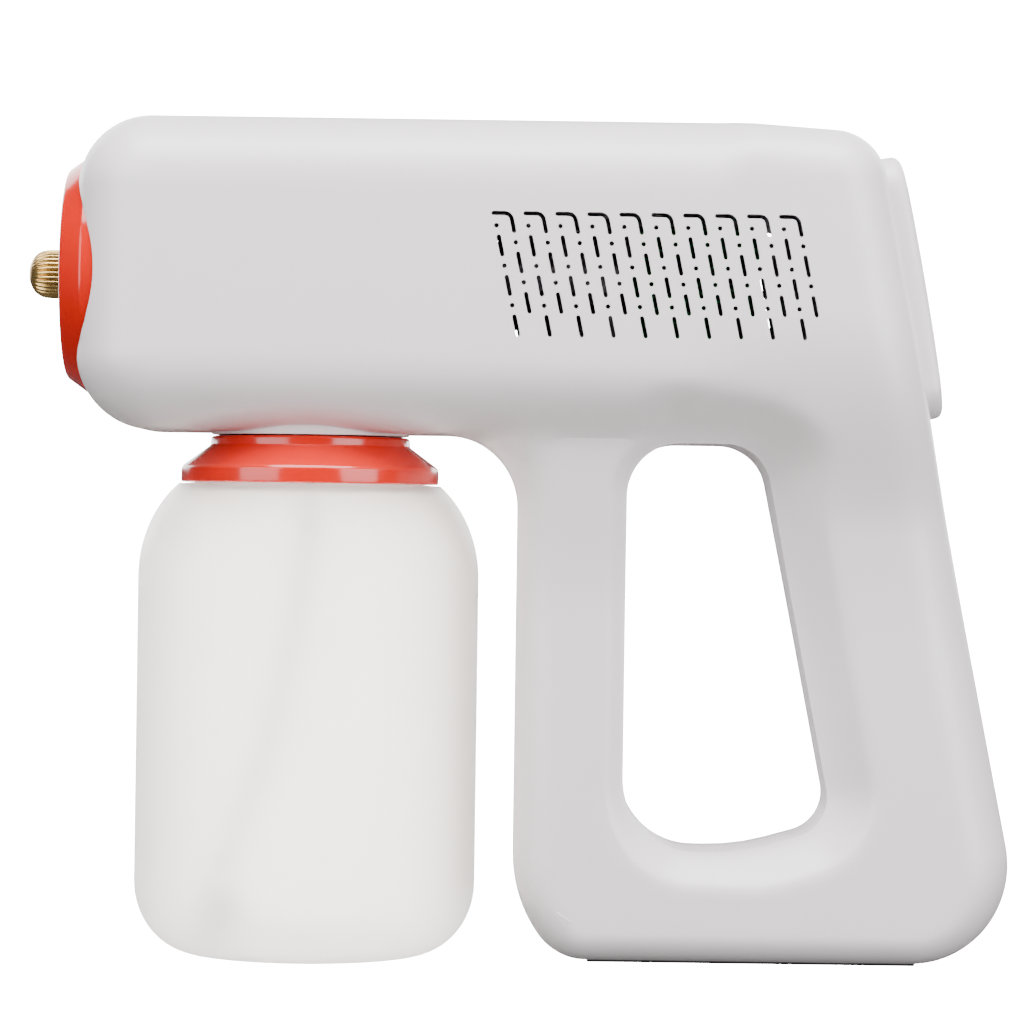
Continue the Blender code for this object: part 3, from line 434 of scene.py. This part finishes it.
def distance_inside(points, ring):
    """Signed distance from each point to a closed ring, positive inside, and the ring's value there."""
    start = ring[:, :2]
    along = np.roll(start, -1, axis=0) - start
    offset = points[:, None, :] - start[None]
    share = np.clip((offset * along).sum(2) / (along * along).sum(1), 0.0, 1.0)
    gap = np.linalg.norm(offset - share[..., None] * along, axis=2)
    nearest = gap.argmin(axis=1)
    rows = np.arange(len(points))
    values = ring[:, -1]
    t = share[rows, nearest]
    value = values[nearest] * (1 - t) + np.roll(values, -1)[nearest] * t
    return np.where(inside(points, ring), 1.0, -1.0) * gap[rows, nearest], value


def smoothstep(value, low, high):
    t = np.clip((value - low) / (high - low), 0.0, 1.0)
    return t * t * (3 - 2 * t)


def soft_max(a, b, reach):
    t = np.clip(0.5 + 0.5 * (a - b) / reach, 0.0, 1.0)
    return b * (1 - t) + a * t + reach * t * (1 - t)


def rounded(depth, half, radius):
    """Half width of a rounded edge at a depth inside the outline."""
    within = np.clip(depth, 0.0, radius)
    height = half - radius + np.sqrt(np.maximum(radius ** 2 - (radius - within) ** 2, 0.0))
    return np.where(depth < 0, half - radius + 6.0 * depth, height)


def half_width(points):
    """Half width of the body at points in the side view: barrel, handle and the scooped loop edge."""
    x = points[:, 0]
    z = points[:, 1]
    depth, rounding = distance_inside(points, BARREL)
    barrel = rounded(depth, BARREL_HALF, rounding)
    rear = smoothstep(x, 40.0, 80.0)
    grip = GRIP_HALF + 5.0 * smoothstep(z, 95.0, 145.0) * (1 - rear)
    grip = grip + 11.0 * smoothstep(z, 85.0, 200.0) * rear
    depth, rounding = distance_inside(points, OUTER)
    handle = rounded(np.maximum(depth, 0.0), grip, rounding)
    full = rounded(np.maximum(depth, 0.0), BARREL_HALF, rounding)
    flowing = handle + (full - handle) * smoothstep(z, *BLEND_Z)
    width = soft_max(barrel, handle, 6.0) * (1 - rear) + flowing * rear
    gap, scoop = distance_inside(points, LOOP)
    outside = np.maximum(-gap, 0.0)
    edge = grip - 0.7 * scoop + 0.7 * scoop * (outside / scoop) ** 1.3
    return -soft_max(-width, -edge, 2.0)


def normals_left(ring):
    tangent = np.roll(ring, -1, axis=0) - np.roll(ring, 1, axis=0)
    tangent /= np.linalg.norm(tangent, axis=1)[:, None]
    return np.stack([-tangent[:, 1], tangent[:, 0]], axis=1)


def vent_shapes():
    """The vents' outlines: each unit is a hook and two leaning columns of dashes and dots."""
    shapes = []
    for unit in range(VENT_UNITS):
        shift = VENT_PITCH * unit
        shapes.append([(x + shift, z) for x, z in hook_outline(VENT_HALF)])
        columns = [(-6.25, 199.7, [(-3.0, -7.8), (-13.8, -18.4), (-24.4, -29.2)], [0.0, -10.8, -21.4]),
                   (-1.0, 195.2, [(-3.0, -7.8), (-13.8, -18.5)], [0.0, -10.7])]
        for column_x, column_z, dashes, dots in columns:
            for top, bottom in dashes:
                upper = (column_x + shift - VENT_LEAN * top, column_z + top)
                lower = (column_x + shift - VENT_LEAN * bottom, column_z + bottom)
                shapes.append(dash_outline(upper, lower, VENT_HALF))
            for height in dots:
                centre = (column_x + shift - VENT_LEAN * height, column_z + height)
                shapes.append([(centre[0] + DOT_R * math.cos(a), centre[1] + DOT_R * math.sin(a))
                               for a in np.linspace(0, 2 * math.pi, 12, endpoint=False)])
    return [np.array(shape) for shape in shapes]


def dash_outline(top, bottom, half):
    """A slot with round ends between two points."""
    direction = math.atan2(bottom[1] - top[1], bottom[0] - top[0])
    ends = []
    for centre, start in ((top, direction + math.pi / 2), (bottom, direction - math.pi / 2)):
        ends += [(centre[0] + half * math.cos(start + a), centre[1] + half * math.sin(start + a))
                 for a in np.linspace(0, math.pi, 6)]
    return ends


def hook_outline(half):
    """The hook that heads each unit: a level bar, a round corner and a leaning leg."""
    centre = (-4.13, 201.0)
    lean = math.radians(11.9)
    turn = np.linspace(math.pi / 2, lean, 7)
    foot = (-1.5, 198.2)
    outer = [(centre[0] + (2 + half) * math.cos(a), centre[1] + (2 + half) * math.sin(a)) for a in turn]
    inner = [(centre[0] + (2 - half) * math.cos(a), centre[1] + (2 - half) * math.sin(a)) for a in turn[::-1]]
    tip = [(foot[0] + half * math.cos(lean - a), foot[1] + half * math.sin(lean - a))
           for a in np.linspace(0, math.pi, 6)]
    head = [(-7.1 + half * math.cos(a), 203.0 + half * math.sin(a))
            for a in np.linspace(1.5 * math.pi, 0.5 * math.pi, 6)]
    return head + outer + tip + inner


def grid_points(spacing, outer, loop, holes):
    """Points inside the side face that carry its curvature, clear of its borders and the vents."""
    xs = np.arange(-112.0, 136.0, spacing)
    zs = np.arange(4.0, 224.0, spacing * 0.87)
    points = np.array([(x + (row % 2) * spacing / 2, z) for row, z in enumerate(zs) for x in xs])
    points = points[distance_inside(points, outer)[0] > spacing * 0.4]
    points = points[distance_inside(points, loop)[0] < -spacing * 0.4]
    around = (points[:, 0] > -10) & (points[:, 0] < 84) & (points[:, 1] > 167) & (points[:, 1] < 207)
    near = points[around]
    for hole in holes:
        near = near[distance_inside(near, np.column_stack([hole, hole[:, 0]]))[0] < -0.9]
    return np.concatenate([points[~around], near])


def reached(faces, flat, source, borders):
    """The faces on the same side of the borders as the one nearest the top of the barrel's side."""
    sharing = {}
    for number, face in enumerate(faces):
        for pair in zip(face, face[1:] + face[:1]):
            sharing.setdefault(frozenset(pair), []).append(number)
    centres = np.array([flat[list(face)].mean(axis=0) for face in faces])
    start = int(np.linalg.norm(centres - np.array([-60.0, 190.0]), axis=1).argmin())
    found = {start}
    queue = [start]
    while queue:
        face = faces[queue.pop()]
        for a, b in zip(face, face[1:] + face[:1]):
            if frozenset((source[a], source[b])) in borders:
                continue
            for other in sharing[frozenset((a, b))]:
                if other not in found:
                    found.add(other)
                    queue.append(other)
    return sorted(found)


def shell_surface(side):
    """One side's outer surface, open at the middle plane, with its vents. Side -1 is the left."""
    shape = bmesh.new()

    def row(points, heights=None):
        widths = half_width(points) if heights is None else heights
        return [shape.verts.new((x * MM, side * (y + SEAM) * MM, z * MM))
                for (x, z), y in zip(points, widths)]

    def bands(rings):
        for lower, upper in zip(rings, rings[1:]):
            for i in range(len(lower)):
                j = (i + 1) % len(lower)
                shape.faces.new((lower[i], lower[j], upper[j], upper[i]))

    outer = OUTER[:, :2]
    rims = [outer + normals_left(outer) * (OUTER[:, 2] * depth)[:, None]
            for depth in 1 - np.cos(np.linspace(0.0, math.pi / 2, 11))]
    bands([row(outer, np.zeros(len(outer))), row(outer, np.full(len(outer), 4.0))]
          + [row(rim) for rim in rims])
    loop = LOOP[:, :2]
    scoops = [loop - normals_left(loop) * (LOOP[:, 2] * share)[:, None]
              for share in (0.0, 0.04, 0.15, 0.3, 0.5, 0.7, 0.85, 0.95, 1.05, 1.2)]
    bands([row(loop, np.zeros(len(loop))), row(loop, np.full(len(loop), 4.0))]
          + [row(scoop) for scoop in scoops])

    limits = [rims[-1], scoops[-1]]
    holes = vent_shapes()
    outer_limit, loop_limit = [np.column_stack([limit, limit[:, 0]]) for limit in limits]
    points = np.concatenate(limits + holes + [grid_points(3.2, outer_limit, loop_limit, holes)])
    edges = []
    owner = {}
    first = 0
    for number, ring in enumerate(limits + holes):
        edges += [(first + i, first + (i + 1) % len(ring)) for i in range(len(ring))]
        owner.update({i: number for i in range(first, first + len(ring))})
        first += len(ring)
    made, _, faces, origins, _, _ = delaunay_2d_cdt([Vector(p) for p in points], edges, [], 0, 1e-4)
    flat = np.array([tuple(p) for p in made])
    source = [o[0] if o else -1 for o in origins]
    borders = {frozenset(edge) for edge in edges[:len(limits[0]) + len(limits[1])]}
    verts = row(flat)
    for number in reached(faces, flat, source, borders):
        face = faces[number]
        owners = {owner.get(source[i], -1) for i in face}
        hole = owners.pop() if len(owners) == 1 else -1
        if hole < 2 or not inside(flat[list(face)].mean(axis=0)[None], holes[hole - 2])[0]:
            shape.faces.new([verts[i] for i in face])
    bmesh.ops.remove_doubles(shape, verts=shape.verts, dist=0.000002)
    bmesh.ops.delete(shape, geom=[v for v in shape.verts if not v.link_faces], context="VERTS")
    bmesh.ops.recalc_face_normals(shape, faces=shape.faces)
    outermost = max(shape.faces, key=lambda face: side * face.calc_center_median().y)
    if outermost.normal.y * side < 0:
        bmesh.ops.reverse_faces(shape, faces=shape.faces)
    return shape


def add_cylinder(shape, radius, length, matrix, sides=64):
    bmesh.ops.create_cone(shape, cap_ends=True, segments=sides, radius1=radius * MM, radius2=radius * MM,
                          depth=length * MM, matrix=matrix)


def add_block(shape, size, matrix):
    made = bmesh.ops.create_cube(shape, size=MM)["verts"]
    bmesh.ops.transform(shape, matrix=matrix @ Matrix.Diagonal((*size, 1.0)), verts=made)


def at(position, turn=0.0, axis="Y"):
    return Matrix.Translation(Vector(position) * MM) @ Matrix.Rotation(turn, 4, axis)


def shell_openings(side):
    """Everything that is cut out of one shell, as separate solids in one mesh."""
    shape = bmesh.new()
    add_cylinder(shape, COLLAR_HOLE_R, 16.0, at((BOTTLE_X, 0, 143.0)), 96)
    add_cylinder(shape, CAP_BASE_R + 0.25, 25.0, at((-118.5, 0, AXIS_Z), math.pi / 2), 128)
    add_cylinder(shape, BUTTON_HOLE_R, 12.0, at(on_rear(BUTTON_Z, -3.0), math.pi / 2 - LEAN_ANGLE))
    pad_low, pad_high = box_mm("base_pad")
    pad = pad_high - pad_low
    add_block(shape, (pad.x + 0.6, pad.y + 0.6, 8.0), at(((pad_low + pad_high) / 2).to_tuple()[:2] + (0,)))
    add_block(shape, (12.0, 15.6, 10.6), at(on_rear(SOCKET_Z, -1.0), -LEAN_ANGLE))
    if side > 0:
        for x, z in SCREWS:
            add_cylinder(shape, SCREW_RECESS_R, 40.0, at((x, 29.0, z), math.pi / 2, "X"), 40)
    return to_mesh(shape, "shell_openings")


def cut_out(piece, openings):
    """Cut the openings' mesh out of the piece, and turn its modifiers into mesh."""
    cutter = bpy.data.objects.new("cutter", openings)
    bpy.context.scene.collection.objects.link(cutter)
    cut = piece.modifiers.new("Openings", "BOOLEAN")
    cut.operation = "DIFFERENCE"
    cut.object = cutter
    graph = bpy.context.evaluated_depsgraph_get()
    mesh = bpy.data.meshes.new_from_object(piece.evaluated_get(graph))
    piece.modifiers.clear()
    piece.data = mesh
    bpy.data.objects.remove(cutter, do_unlink=True)


def shell(side, node):
    surface = shell_surface(side)
    mesh = bpy.data.meshes.new(node + "_shell")
    surface.to_mesh(mesh)
    surface.free()
    piece = add(node + "_shell", mesh, WHITE, "body", (node,), 30.0)
    wall = piece.modifiers.new("Wall", "SOLIDIFY")
    wall.thickness = WALL * MM
    wall.offset = -1.0
    cut_out(piece, shell_openings(side))
    piece.data.shade_smooth()
    piece.data.set_sharp_from_angle(angle=math.radians(30.0))
    even = piece.modifiers.new("Even shading", "WEIGHTED_NORMAL")
    even.keep_sharp = True


def screw_sleeves():
    """The tubes inside the right shell that the sunk screw heads sit in."""
    for number, (x, z) in enumerate(SCREWS, start=1):
        reach = 38.0 if z > BELLY_Z else 21.0
        profile = eased([(SLEEVE_R, reach), (SLEEVE_R, 8.0), (SCREW_HOLE_R, 8.0), (SCREW_HOLE_R, 9.2),
                         (SCREW_RECESS_R, 9.2), (SCREW_RECESS_R, reach)], 0.3)
        mesh = lathe(f"screw_sleeve_{number}", profile, 40,
                     lambda across, side, height: Vector((x + across, height, z + side)))
        add(f"screw_sleeve_{number}", mesh, WHITE, "body")


shell(-1, "housing_left")
shell(1, "housing_right")
screw_sleeves()


# ---------------------------------------------------------------- turned pieces

def turned(name, node, profile, round_off, material, body, axis_frame, sides=128, angle=30.0):
    mesh = lathe(name, eased(profile, round_off), sides, axis_frame)
    add(name, mesh, material, body, (node,), angle)


def front_cap():
    """The glossy bezel: a cone with a narrow flat rim round the sunk floor."""
    profile = [(27.9, CAP_FRONT), (28.9, CAP_FRONT - 0.5), (CAP_BASE_R, CAP_FRONT - 6.2),
               (CAP_BASE_R, SKIRT_END), (SKIRT_INNER_R, SKIRT_END), (SKIRT_INNER_R, 118.2), (27.0, 119.3),
               (8.2, 119.3), (8.2, 121.5), (25.2, 121.5), (26.6, CAP_FRONT)]
    turned("front_bezel", "front_cap", profile, 0.45, ORANGE, "body", forwards, 160)


def lens_ring():
    """The clear ring over the lights, with its shallow domes."""
    profile = [(22.3, 122.9), (22.9, 122.3), (22.9, 121.8), (13.1, 121.8), (13.1, 122.3), (13.7, 122.9)]
    turned("light_ring", "lens_ring", profile, 0.2, LENS, "body", forwards, 96)
    shape = bmesh.new()
    for index in range(DOMES):
        angle = 2 * math.pi * (index + 0.5) / DOMES
        across = DOME_CIRCLE_R * math.cos(angle)
        side = DOME_CIRCLE_R * math.sin(angle)
        place = Matrix.Translation(forwards(across, side, 122.2) * MM)
        bmesh.ops.create_uvsphere(shape, u_segments=24, v_segments=16, radius=DOME_R * MM,
                                  matrix=place @ Matrix.Diagonal((0.5, 1.0, 1.0, 1.0)))
    add("light_domes", to_mesh(shape, "light_domes"), LENS, "body")


def nozzle_cap():
    """The knurled brass cap; its grooves run from the skirt into the domed tip."""
    tip = NOZZLE_TIP
    levels = [(tip - 0.15, 0.75, 0), (tip, 1.15, 0), (tip - 0.05, 2.0, 0), (tip - 0.35, 3.0, 0),
              (tip - 0.9, 4.15, 0.03), (tip - 1.6, 5.1, 0.14), (tip - 2.5, 5.85, 0.36),
              (tip - 3.6, 6.4, 0.5), (tip - 4.8, 6.66, 0.52), (tip - 6.0, 6.75, 0.52), (126.0, 6.75, 0.52),
              (123.3, 6.75, 0.52), (122.9, 6.6, 0.3), (122.55, 6.3, 0.05), (122.4, 6.0, 0), (122.4, 4.0, 0),
              (124.5, 4.0, 0), (124.5, 5.2, 0), (126.5, 5.2, 0), (126.5, 4.0, 0), (130.7, 4.0, 0),
              (131.2, 0.6, 0)]
    depths = [level[2] for level in levels]

    def radial(index, angle):
        wave = 0.5 + 0.5 * math.cos(GROOVES * angle)
        return depths[index] * wave ** 2.2

    mesh = lathe("nozzle_knurl", [(radius, height) for height, radius, _ in levels], GROOVES * 12, forwards,
                 radial=radial)
    add("nozzle_knurl", mesh, BRASS, "nozzle", ("nozzle_cap",), 40.0)


def neck_collar():
    profile = [(29.8, 154.0), (29.8, 151.8), (27.3, 151.8), (27.3, 143.2), (22.0, 143.2), (22.0, 154.0)]
    turned("collar_tube", "neck_collar", profile, 0.3, WHITE, "body", upright)


def thread(name, root, crest, start_z, material, body):
    """A rounded helical ridge that tapers out at both ends."""
    section = ((0, -0.65), (0.55, -0.5), (0.9, -0.3), (1, 0), (0.9, 0.3), (0.55, 0.5), (0, 0.65))
    shape = bmesh.new()
    sides = 96
    count = round(THREAD_TURNS * sides)
    rings = []
    for step in range(count + 1):
        angle = 2 * math.pi * step / sides
        height = start_z + THREAD_PITCH * step / sides
        fade = min(1.0, min(step, count - step) / (sides / 8) + 0.02)
        ring = []
        for across, up in section:
            r = root + (crest - root) * across * fade
            ring.append(shape.verts.new(upright(r * math.cos(angle), r * math.sin(angle),
                                                height + up * max(fade, 0.3)) * MM))
        rings.append(ring)
    for lower, upper in zip(rings, rings[1:]):
        for i in range(len(section)):
            j = (i + 1) % len(section)
            shape.faces.new((lower[i], lower[j], upper[j], upper[i]))
    shape.faces.new(rings[0])
    shape.faces.new(rings[-1])
    add(name, to_mesh(shape, name), material, body)


def bottle_ring():
    profile = [(26.8, RING_TOP), (27.5, RING_TOP - 0.5), (27.6, 140.3), (35.1, 134.75), (RING_R, 133.9),
               (RING_R, 130.3), (35.2, 130.0), (26.9, 130.0), (26.9, 141.2), (12.0, 141.2), (12.0, RING_TOP)]
    turned("neck_ring", "bottle_ring", profile, 0.35, ORANGE, "body", upright, 192)
    thread("neck_ring_thread", 27.1, 25.0, 133.2, ORANGE, "body")


def bottle():
    """The blown bottle: wall, shoulder, lip and the ring it stands on."""
    wall = BOTTLE_WALL
    profile = [(0.0, 4.0), (8.0, 4.0), (17.0, 3.9), (21.0, 2.9), (24.0, wall + 0.1)]
    profile += arc(29.1, 20.0, 18.0 - wall, 20.0 - wall, -90, 0, 14)
    profile += arc(20.1, 104.0, 27.0 - wall, 32.0 - wall, 0, 52.3, 14)
    profile += [(22.6, 128.6), (22.4, 129.6), (22.4, LIP_Z - 0.4), (22.8, LIP_Z), (24.2, LIP_Z),
                (24.6, LIP_Z - 0.4), (24.6, 131.0), (24.9, 130.2)]
    profile += arc(20.1, 104.0, 27.0, 32.0, 53.4, 0, 16)
    profile += arc(29.1, 20.0, 18.0, 20.0, 0, -90, 18)
    profile += [(26.0, 0.25), (24.0, 0.6), (21.0, 1.5), (17.5, 2.2), (8.0, 2.2), (0.0, 2.2)]
    shape = bmesh.new()
    sides = 160
    rings = []
    for radius, height in profile:
        if radius == 0.0:
            rings.append([shape.verts.new(upright(0, 0, height) * MM)])
        else:
            rings.append([shape.verts.new(upright(radius * math.cos(2 * math.pi * i / sides),
                                                  radius * math.sin(2 * math.pi * i / sides), height) * MM)
                          for i in range(sides)])
    for lower, upper in zip(rings, rings[1:]):
        for i in range(sides):
            j = (i + 1) % sides
            if len(lower) == 1:
                shape.faces.new((lower[0], upper[j], upper[i]))
            elif len(upper) == 1:
                shape.faces.new((lower[i], lower[j], upper[0]))
            else:
                shape.faces.new((lower[i], lower[j], upper[j], upper[i]))
    add("blown_bottle", to_mesh(shape, "blown_bottle"), FROSTED, "bottle", ("bottle",), 50.0)
    thread("blown_bottle_thread", 24.45, 26.1, 131.2, FROSTED, "bottle")


# ---------------------------------------------------------------- rear panel and button

def panel_height(share_up, share_across):
    return (6.3 + 0.7 * share_up - 0.8 * share_up ** 2) * (1 - 0.1 * share_across ** 2)


def rear_panel():
    """The crowned plate on the leaning rear face, with the button's hole and the window's slot."""
    half_up = 36.4
    half_across = 21.0
    corners = [(-half_across, half_up, 9.0, 0), (-half_across, -half_up, 9.0, 0),
               (half_across, -half_up, 9.0, 0), (half_across, half_up, 9.0, 0)]
    ring = outline(corners, 2.0, 6.0)[:, :2]
    levels = [(1.0, 0.04), (1.0, 0.3), (0.999, 0.55), (0.992, 0.7), (0.98, 0.8), (0.962, 0.89),
              (0.94, 0.945), (0.91, 0.98), (0.87, 0.997), (0.8, 1.0), (0.65, 1.0), (0.5, 1.0), (0.35, 1.0),
              (0.2, 1.0)]
    shape = bmesh.new()
    rings = []
    for scale, lift in levels:
        row = []
        for across, up in ring * scale:
            height = max(lift * panel_height(up / half_up, across / half_across), 0.25)
            row.append(shape.verts.new(on_rear(PANEL_Z + up * math.cos(LEAN_ANGLE), height, across) * MM))
        rings.append(row)
    count = len(ring)
    for lower, upper in zip(rings, rings[1:]):
        for i in range(count):
            shape.faces.new((lower[i], lower[(i + 1) % count], upper[(i + 1) % count], upper[i]))
    shape.faces.new(rings[0])
    shape.faces.new(rings[-1])
    piece = add("rear_plate", to_mesh(shape, "rear_plate"), WHITE, "body", ("rear_panel",), 30.0)
    cuts = bmesh.new()
    add_cylinder(cuts, BUTTON_R + 0.3, 30.0, at(on_rear(BUTTON_Z, 3.0), math.pi / 2 - LEAN_ANGLE), 96)
    add_block(cuts, (30.0, 16.8, 3.8), at(on_rear(WINDOW_Z, 3.0), -LEAN_ANGLE))
    cut_out(piece, to_mesh(cuts, "plate_openings"))
    piece.data.set_sharp_from_angle(angle=math.radians(30.0))
    soft = piece.modifiers.new("Edges", "BEVEL")
    soft.width = 0.35 * MM
    soft.segments = 3
    soft.limit_method = "ANGLE"
    soft.angle_limit = math.radians(40.0)
    soft.harden_normals = True


def spray_button():
    profile = [(0.05, 5.6), (2.5, 5.62), (4.5, 5.85), (5.9, 6.2), (6.6, 6.3), (BUTTON_R - 0.15, 6.15),
               (BUTTON_R, 5.8), (BUTTON_R, -0.3), (8.8, -0.3), (8.8, -1.5), (3.0, -1.5), (3.0, -5.4),
               (0.05, -5.4)]
    mesh = lathe("thumb_button", profile, 96, from_rear(BUTTON_Z), closed=False)
    add("thumb_button", mesh, GREY, "button", ("spray_button",), 35.0)


def button_spring():
    """The return spring behind the button, a coil of round wire."""
    turns = 3.5
    coil_r = 4.3
    wire_r = 0.4
    count = 126
    wire_sides = 10
    shape = bmesh.new()
    frame_at = from_rear(BUTTON_Z)
    rings = []
    for step in range(count + 1):
        angle = 2 * math.pi * turns * step / count
        height = -6.6 + 4.3 * step / count
        ring = []
        for i in range(wire_sides):
            turn = 2 * math.pi * i / wire_sides
            radius = coil_r + wire_r * math.cos(turn)
            ring.append(shape.verts.new(frame_at(radius * math.cos(angle), radius * math.sin(angle),
                                                 height + wire_r * math.sin(turn)) * MM))
        rings.append(ring)
    for lower, upper in zip(rings, rings[1:]):
        for i in range(wire_sides):
            j = (i + 1) % wire_sides
            shape.faces.new((lower[i], lower[j], upper[j], upper[i]))
    shape.faces.new(rings[0])
    shape.faces.new(rings[-1])
    piece = add("return_spring", to_mesh(shape, "return_spring"), STEEL, "body", ("button_spring",))
    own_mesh(piece)


def control_board():
    """The board behind the right side's vents, with its chips."""
    for name, size, place, material in (("board_plate", (36.0, 1.6, 38.0), (50.0, 24.0, 185.0), BOARD),
                                        ("board_chip_large", (12.0, 3.2, 10.0), (44.0, 21.4, 190.0), DARK),
                                        ("board_chip_square", (9.0, 3.2, 9.0), (60.0, 21.4, 178.0), DARK),
                                        ("board_chip_small", (6.0, 3.2, 8.0), (62.0, 21.4, 192.0), DARK)):
        shape = bmesh.new()
        add_block(shape, size, at(place))
        bmesh.ops.bevel(shape, geom=shape.edges[:], offset=0.2 * MM, segments=2, affect="EDGES")
        add(name, to_mesh(shape, name), material, "body", ("control_board",))


front_cap()
lens_ring()
nozzle_cap()
neck_collar()
bottle_ring()
bottle()
rear_panel()
spray_button()
button_spring()
control_board()


# ---------------------------------------------------------------- pieces shown as the frame has them

FINISH = {
    "base_pad": BLACK_RUBBER, "button_switch": DARK, "battery_window": LENS,
    "socket_cover": GREY_RUBBER, "charging_socket": DARK, "led_board": BOARD, "nozzle_stem": BRASS,
    "nozzle_seal": BLACK_RUBBER, "bottle_gasket": GREY_RUBBER, "bottle_adapter": GREY, "dip_tube": TUBE,
    "dip_filter": GREY, "pump_motor": STEEL, "pump_cam": STEEL, "pump_head": DARK, "pump_cradle": GREY,
    "inlet_hose": TUBE, "outlet_hose": TUBE, "high_voltage_module": DARK, "high_voltage_lead": RED_WIRE,
    "battery_cell_1": CELL_WRAP, "battery_cell_2": CELL_WRAP,
    "battery_holder": GREY, "housing_screw_1": STEEL, "housing_screw_2": STEEL, "housing_screw_3": STEEL,
    "housing_screw_4": STEEL, "housing_screw_5": STEEL,
}
SMOOTHED = ("dip_tube", "inlet_hose", "outlet_hose", "high_voltage_lead")
EDGED = ("base_pad", "button_switch", "battery_window", "socket_cover", "charging_socket", "pump_head",
         "pump_cradle", "high_voltage_module", "battery_holder", "battery_cell_1", "battery_cell_2")

for node, material in FINISH.items():
    piece = NODES[node]
    for holder in piece.material_slots:
        holder.material = material
    if node in SMOOTHED:
        finer = piece.modifiers.new("Smooth", "SUBSURF")
        finer.levels = 2
        finer.render_levels = 2
    if node in EDGED:
        soft = piece.modifiers.new("Edges", "BEVEL")
        soft.width = 0.25 * MM
        soft.segments = 2
        soft.limit_method = "ANGLE"
        soft.angle_limit = math.radians(40.0)


# ---------------------------------------------------------------- floor, light and camera

STAGE_REACH = 6.0        # metres
STAGE_GLOW = 25.0


def stage_plane(name, corners, finish_name):
    """A glowing white plane that is seen, but doesn't light the object."""
    mesh = bpy.data.meshes.new(name)
    mesh.from_pydata(corners, [], [(0, 1, 2, 3)])
    mesh.materials.append(glowing(finish_name, STAGE_GLOW))
    piece = bpy.data.objects.new(name, mesh)
    bpy.context.scene.collection.objects.link(piece)
    piece.visible_diffuse = False
    piece.visible_glossy = False
    piece.visible_shadow = False


def surfaces():
    """The floor that the object stands on, and a bright wall far behind it."""
    r = STAGE_REACH
    stage_plane("floor", [(-r, -r, 0), (r, -r, 0), (r, r, 0), (-r, r, 0)], "pale_floor")
    stage_plane("backdrop", [(-r, r, 0), (r, r, 0), (r, r, r), (-r, r, r)], "bright_wall")


def area_light(name, azimuth, elevation, distance, width, height, watts):
    """A soft panel that faces the object; azimuth 0 is the camera's side."""
    light = bpy.data.lights.new(name, "AREA")
    light.shape = "RECTANGLE"
    light.size = width
    light.size_y = height
    light.energy = watts
    holder = bpy.data.objects.new(name, light)
    target = Vector((0.0, 0.0, 0.12))
    a = math.radians(azimuth)
    e = math.radians(elevation)
    holder.location = target + distance * Vector((math.sin(a) * math.cos(e), -math.cos(a) * math.cos(e),
                                                  math.sin(e)))
    holder.rotation_euler = (holder.location - target).to_track_quat("Z", "Y").to_euler()
    bpy.context.scene.collection.objects.link(holder)


def surroundings():
    world = bpy.data.worlds.new("studio")
    bpy.context.scene.world = world
    world.use_nodes = True
    background = world.node_tree.nodes["Background"]
    background.inputs["Color"].default_value = (1.0, 1.0, 1.0, 1.0)
    background.inputs["Strength"].default_value = 0.16


def camera():
    """A long lens, level with the bottle's shoulder and turned a little on its axis."""
    lens = bpy.data.cameras.new("camera")
    lens.sensor_width = 36.0
    lens.lens = 152.3
    lens.clip_end = 50.0
    holder = bpy.data.objects.new("camera", lens)
    holder.matrix_world = (Matrix.Translation((-0.00104, -1.2, 0.1229))
                           @ Matrix.Rotation(math.radians(90.0), 4, "X")
                           @ Matrix.Rotation(math.radians(0.8), 4, "Z"))
    bpy.context.scene.collection.objects.link(holder)
    bpy.context.scene.camera = holder


surfaces()
surroundings()
area_light("left_panel", -45.0, 14.0, 1.1, 0.72, 0.9, 10.5)
area_light("right_panel", 45.0, 14.0, 1.1, 0.72, 0.9, 14.0)
area_light("top_panel", 0.0, 66.0, 1.1, 1.1, 0.6, 34.0)
area_light("rear_left_panel", -150.0, 20.0, 1.4, 0.9, 0.9, 14.0)
area_light("rear_right_panel", 150.0, 20.0, 1.4, 0.9, 0.9, 14.0)
camera()
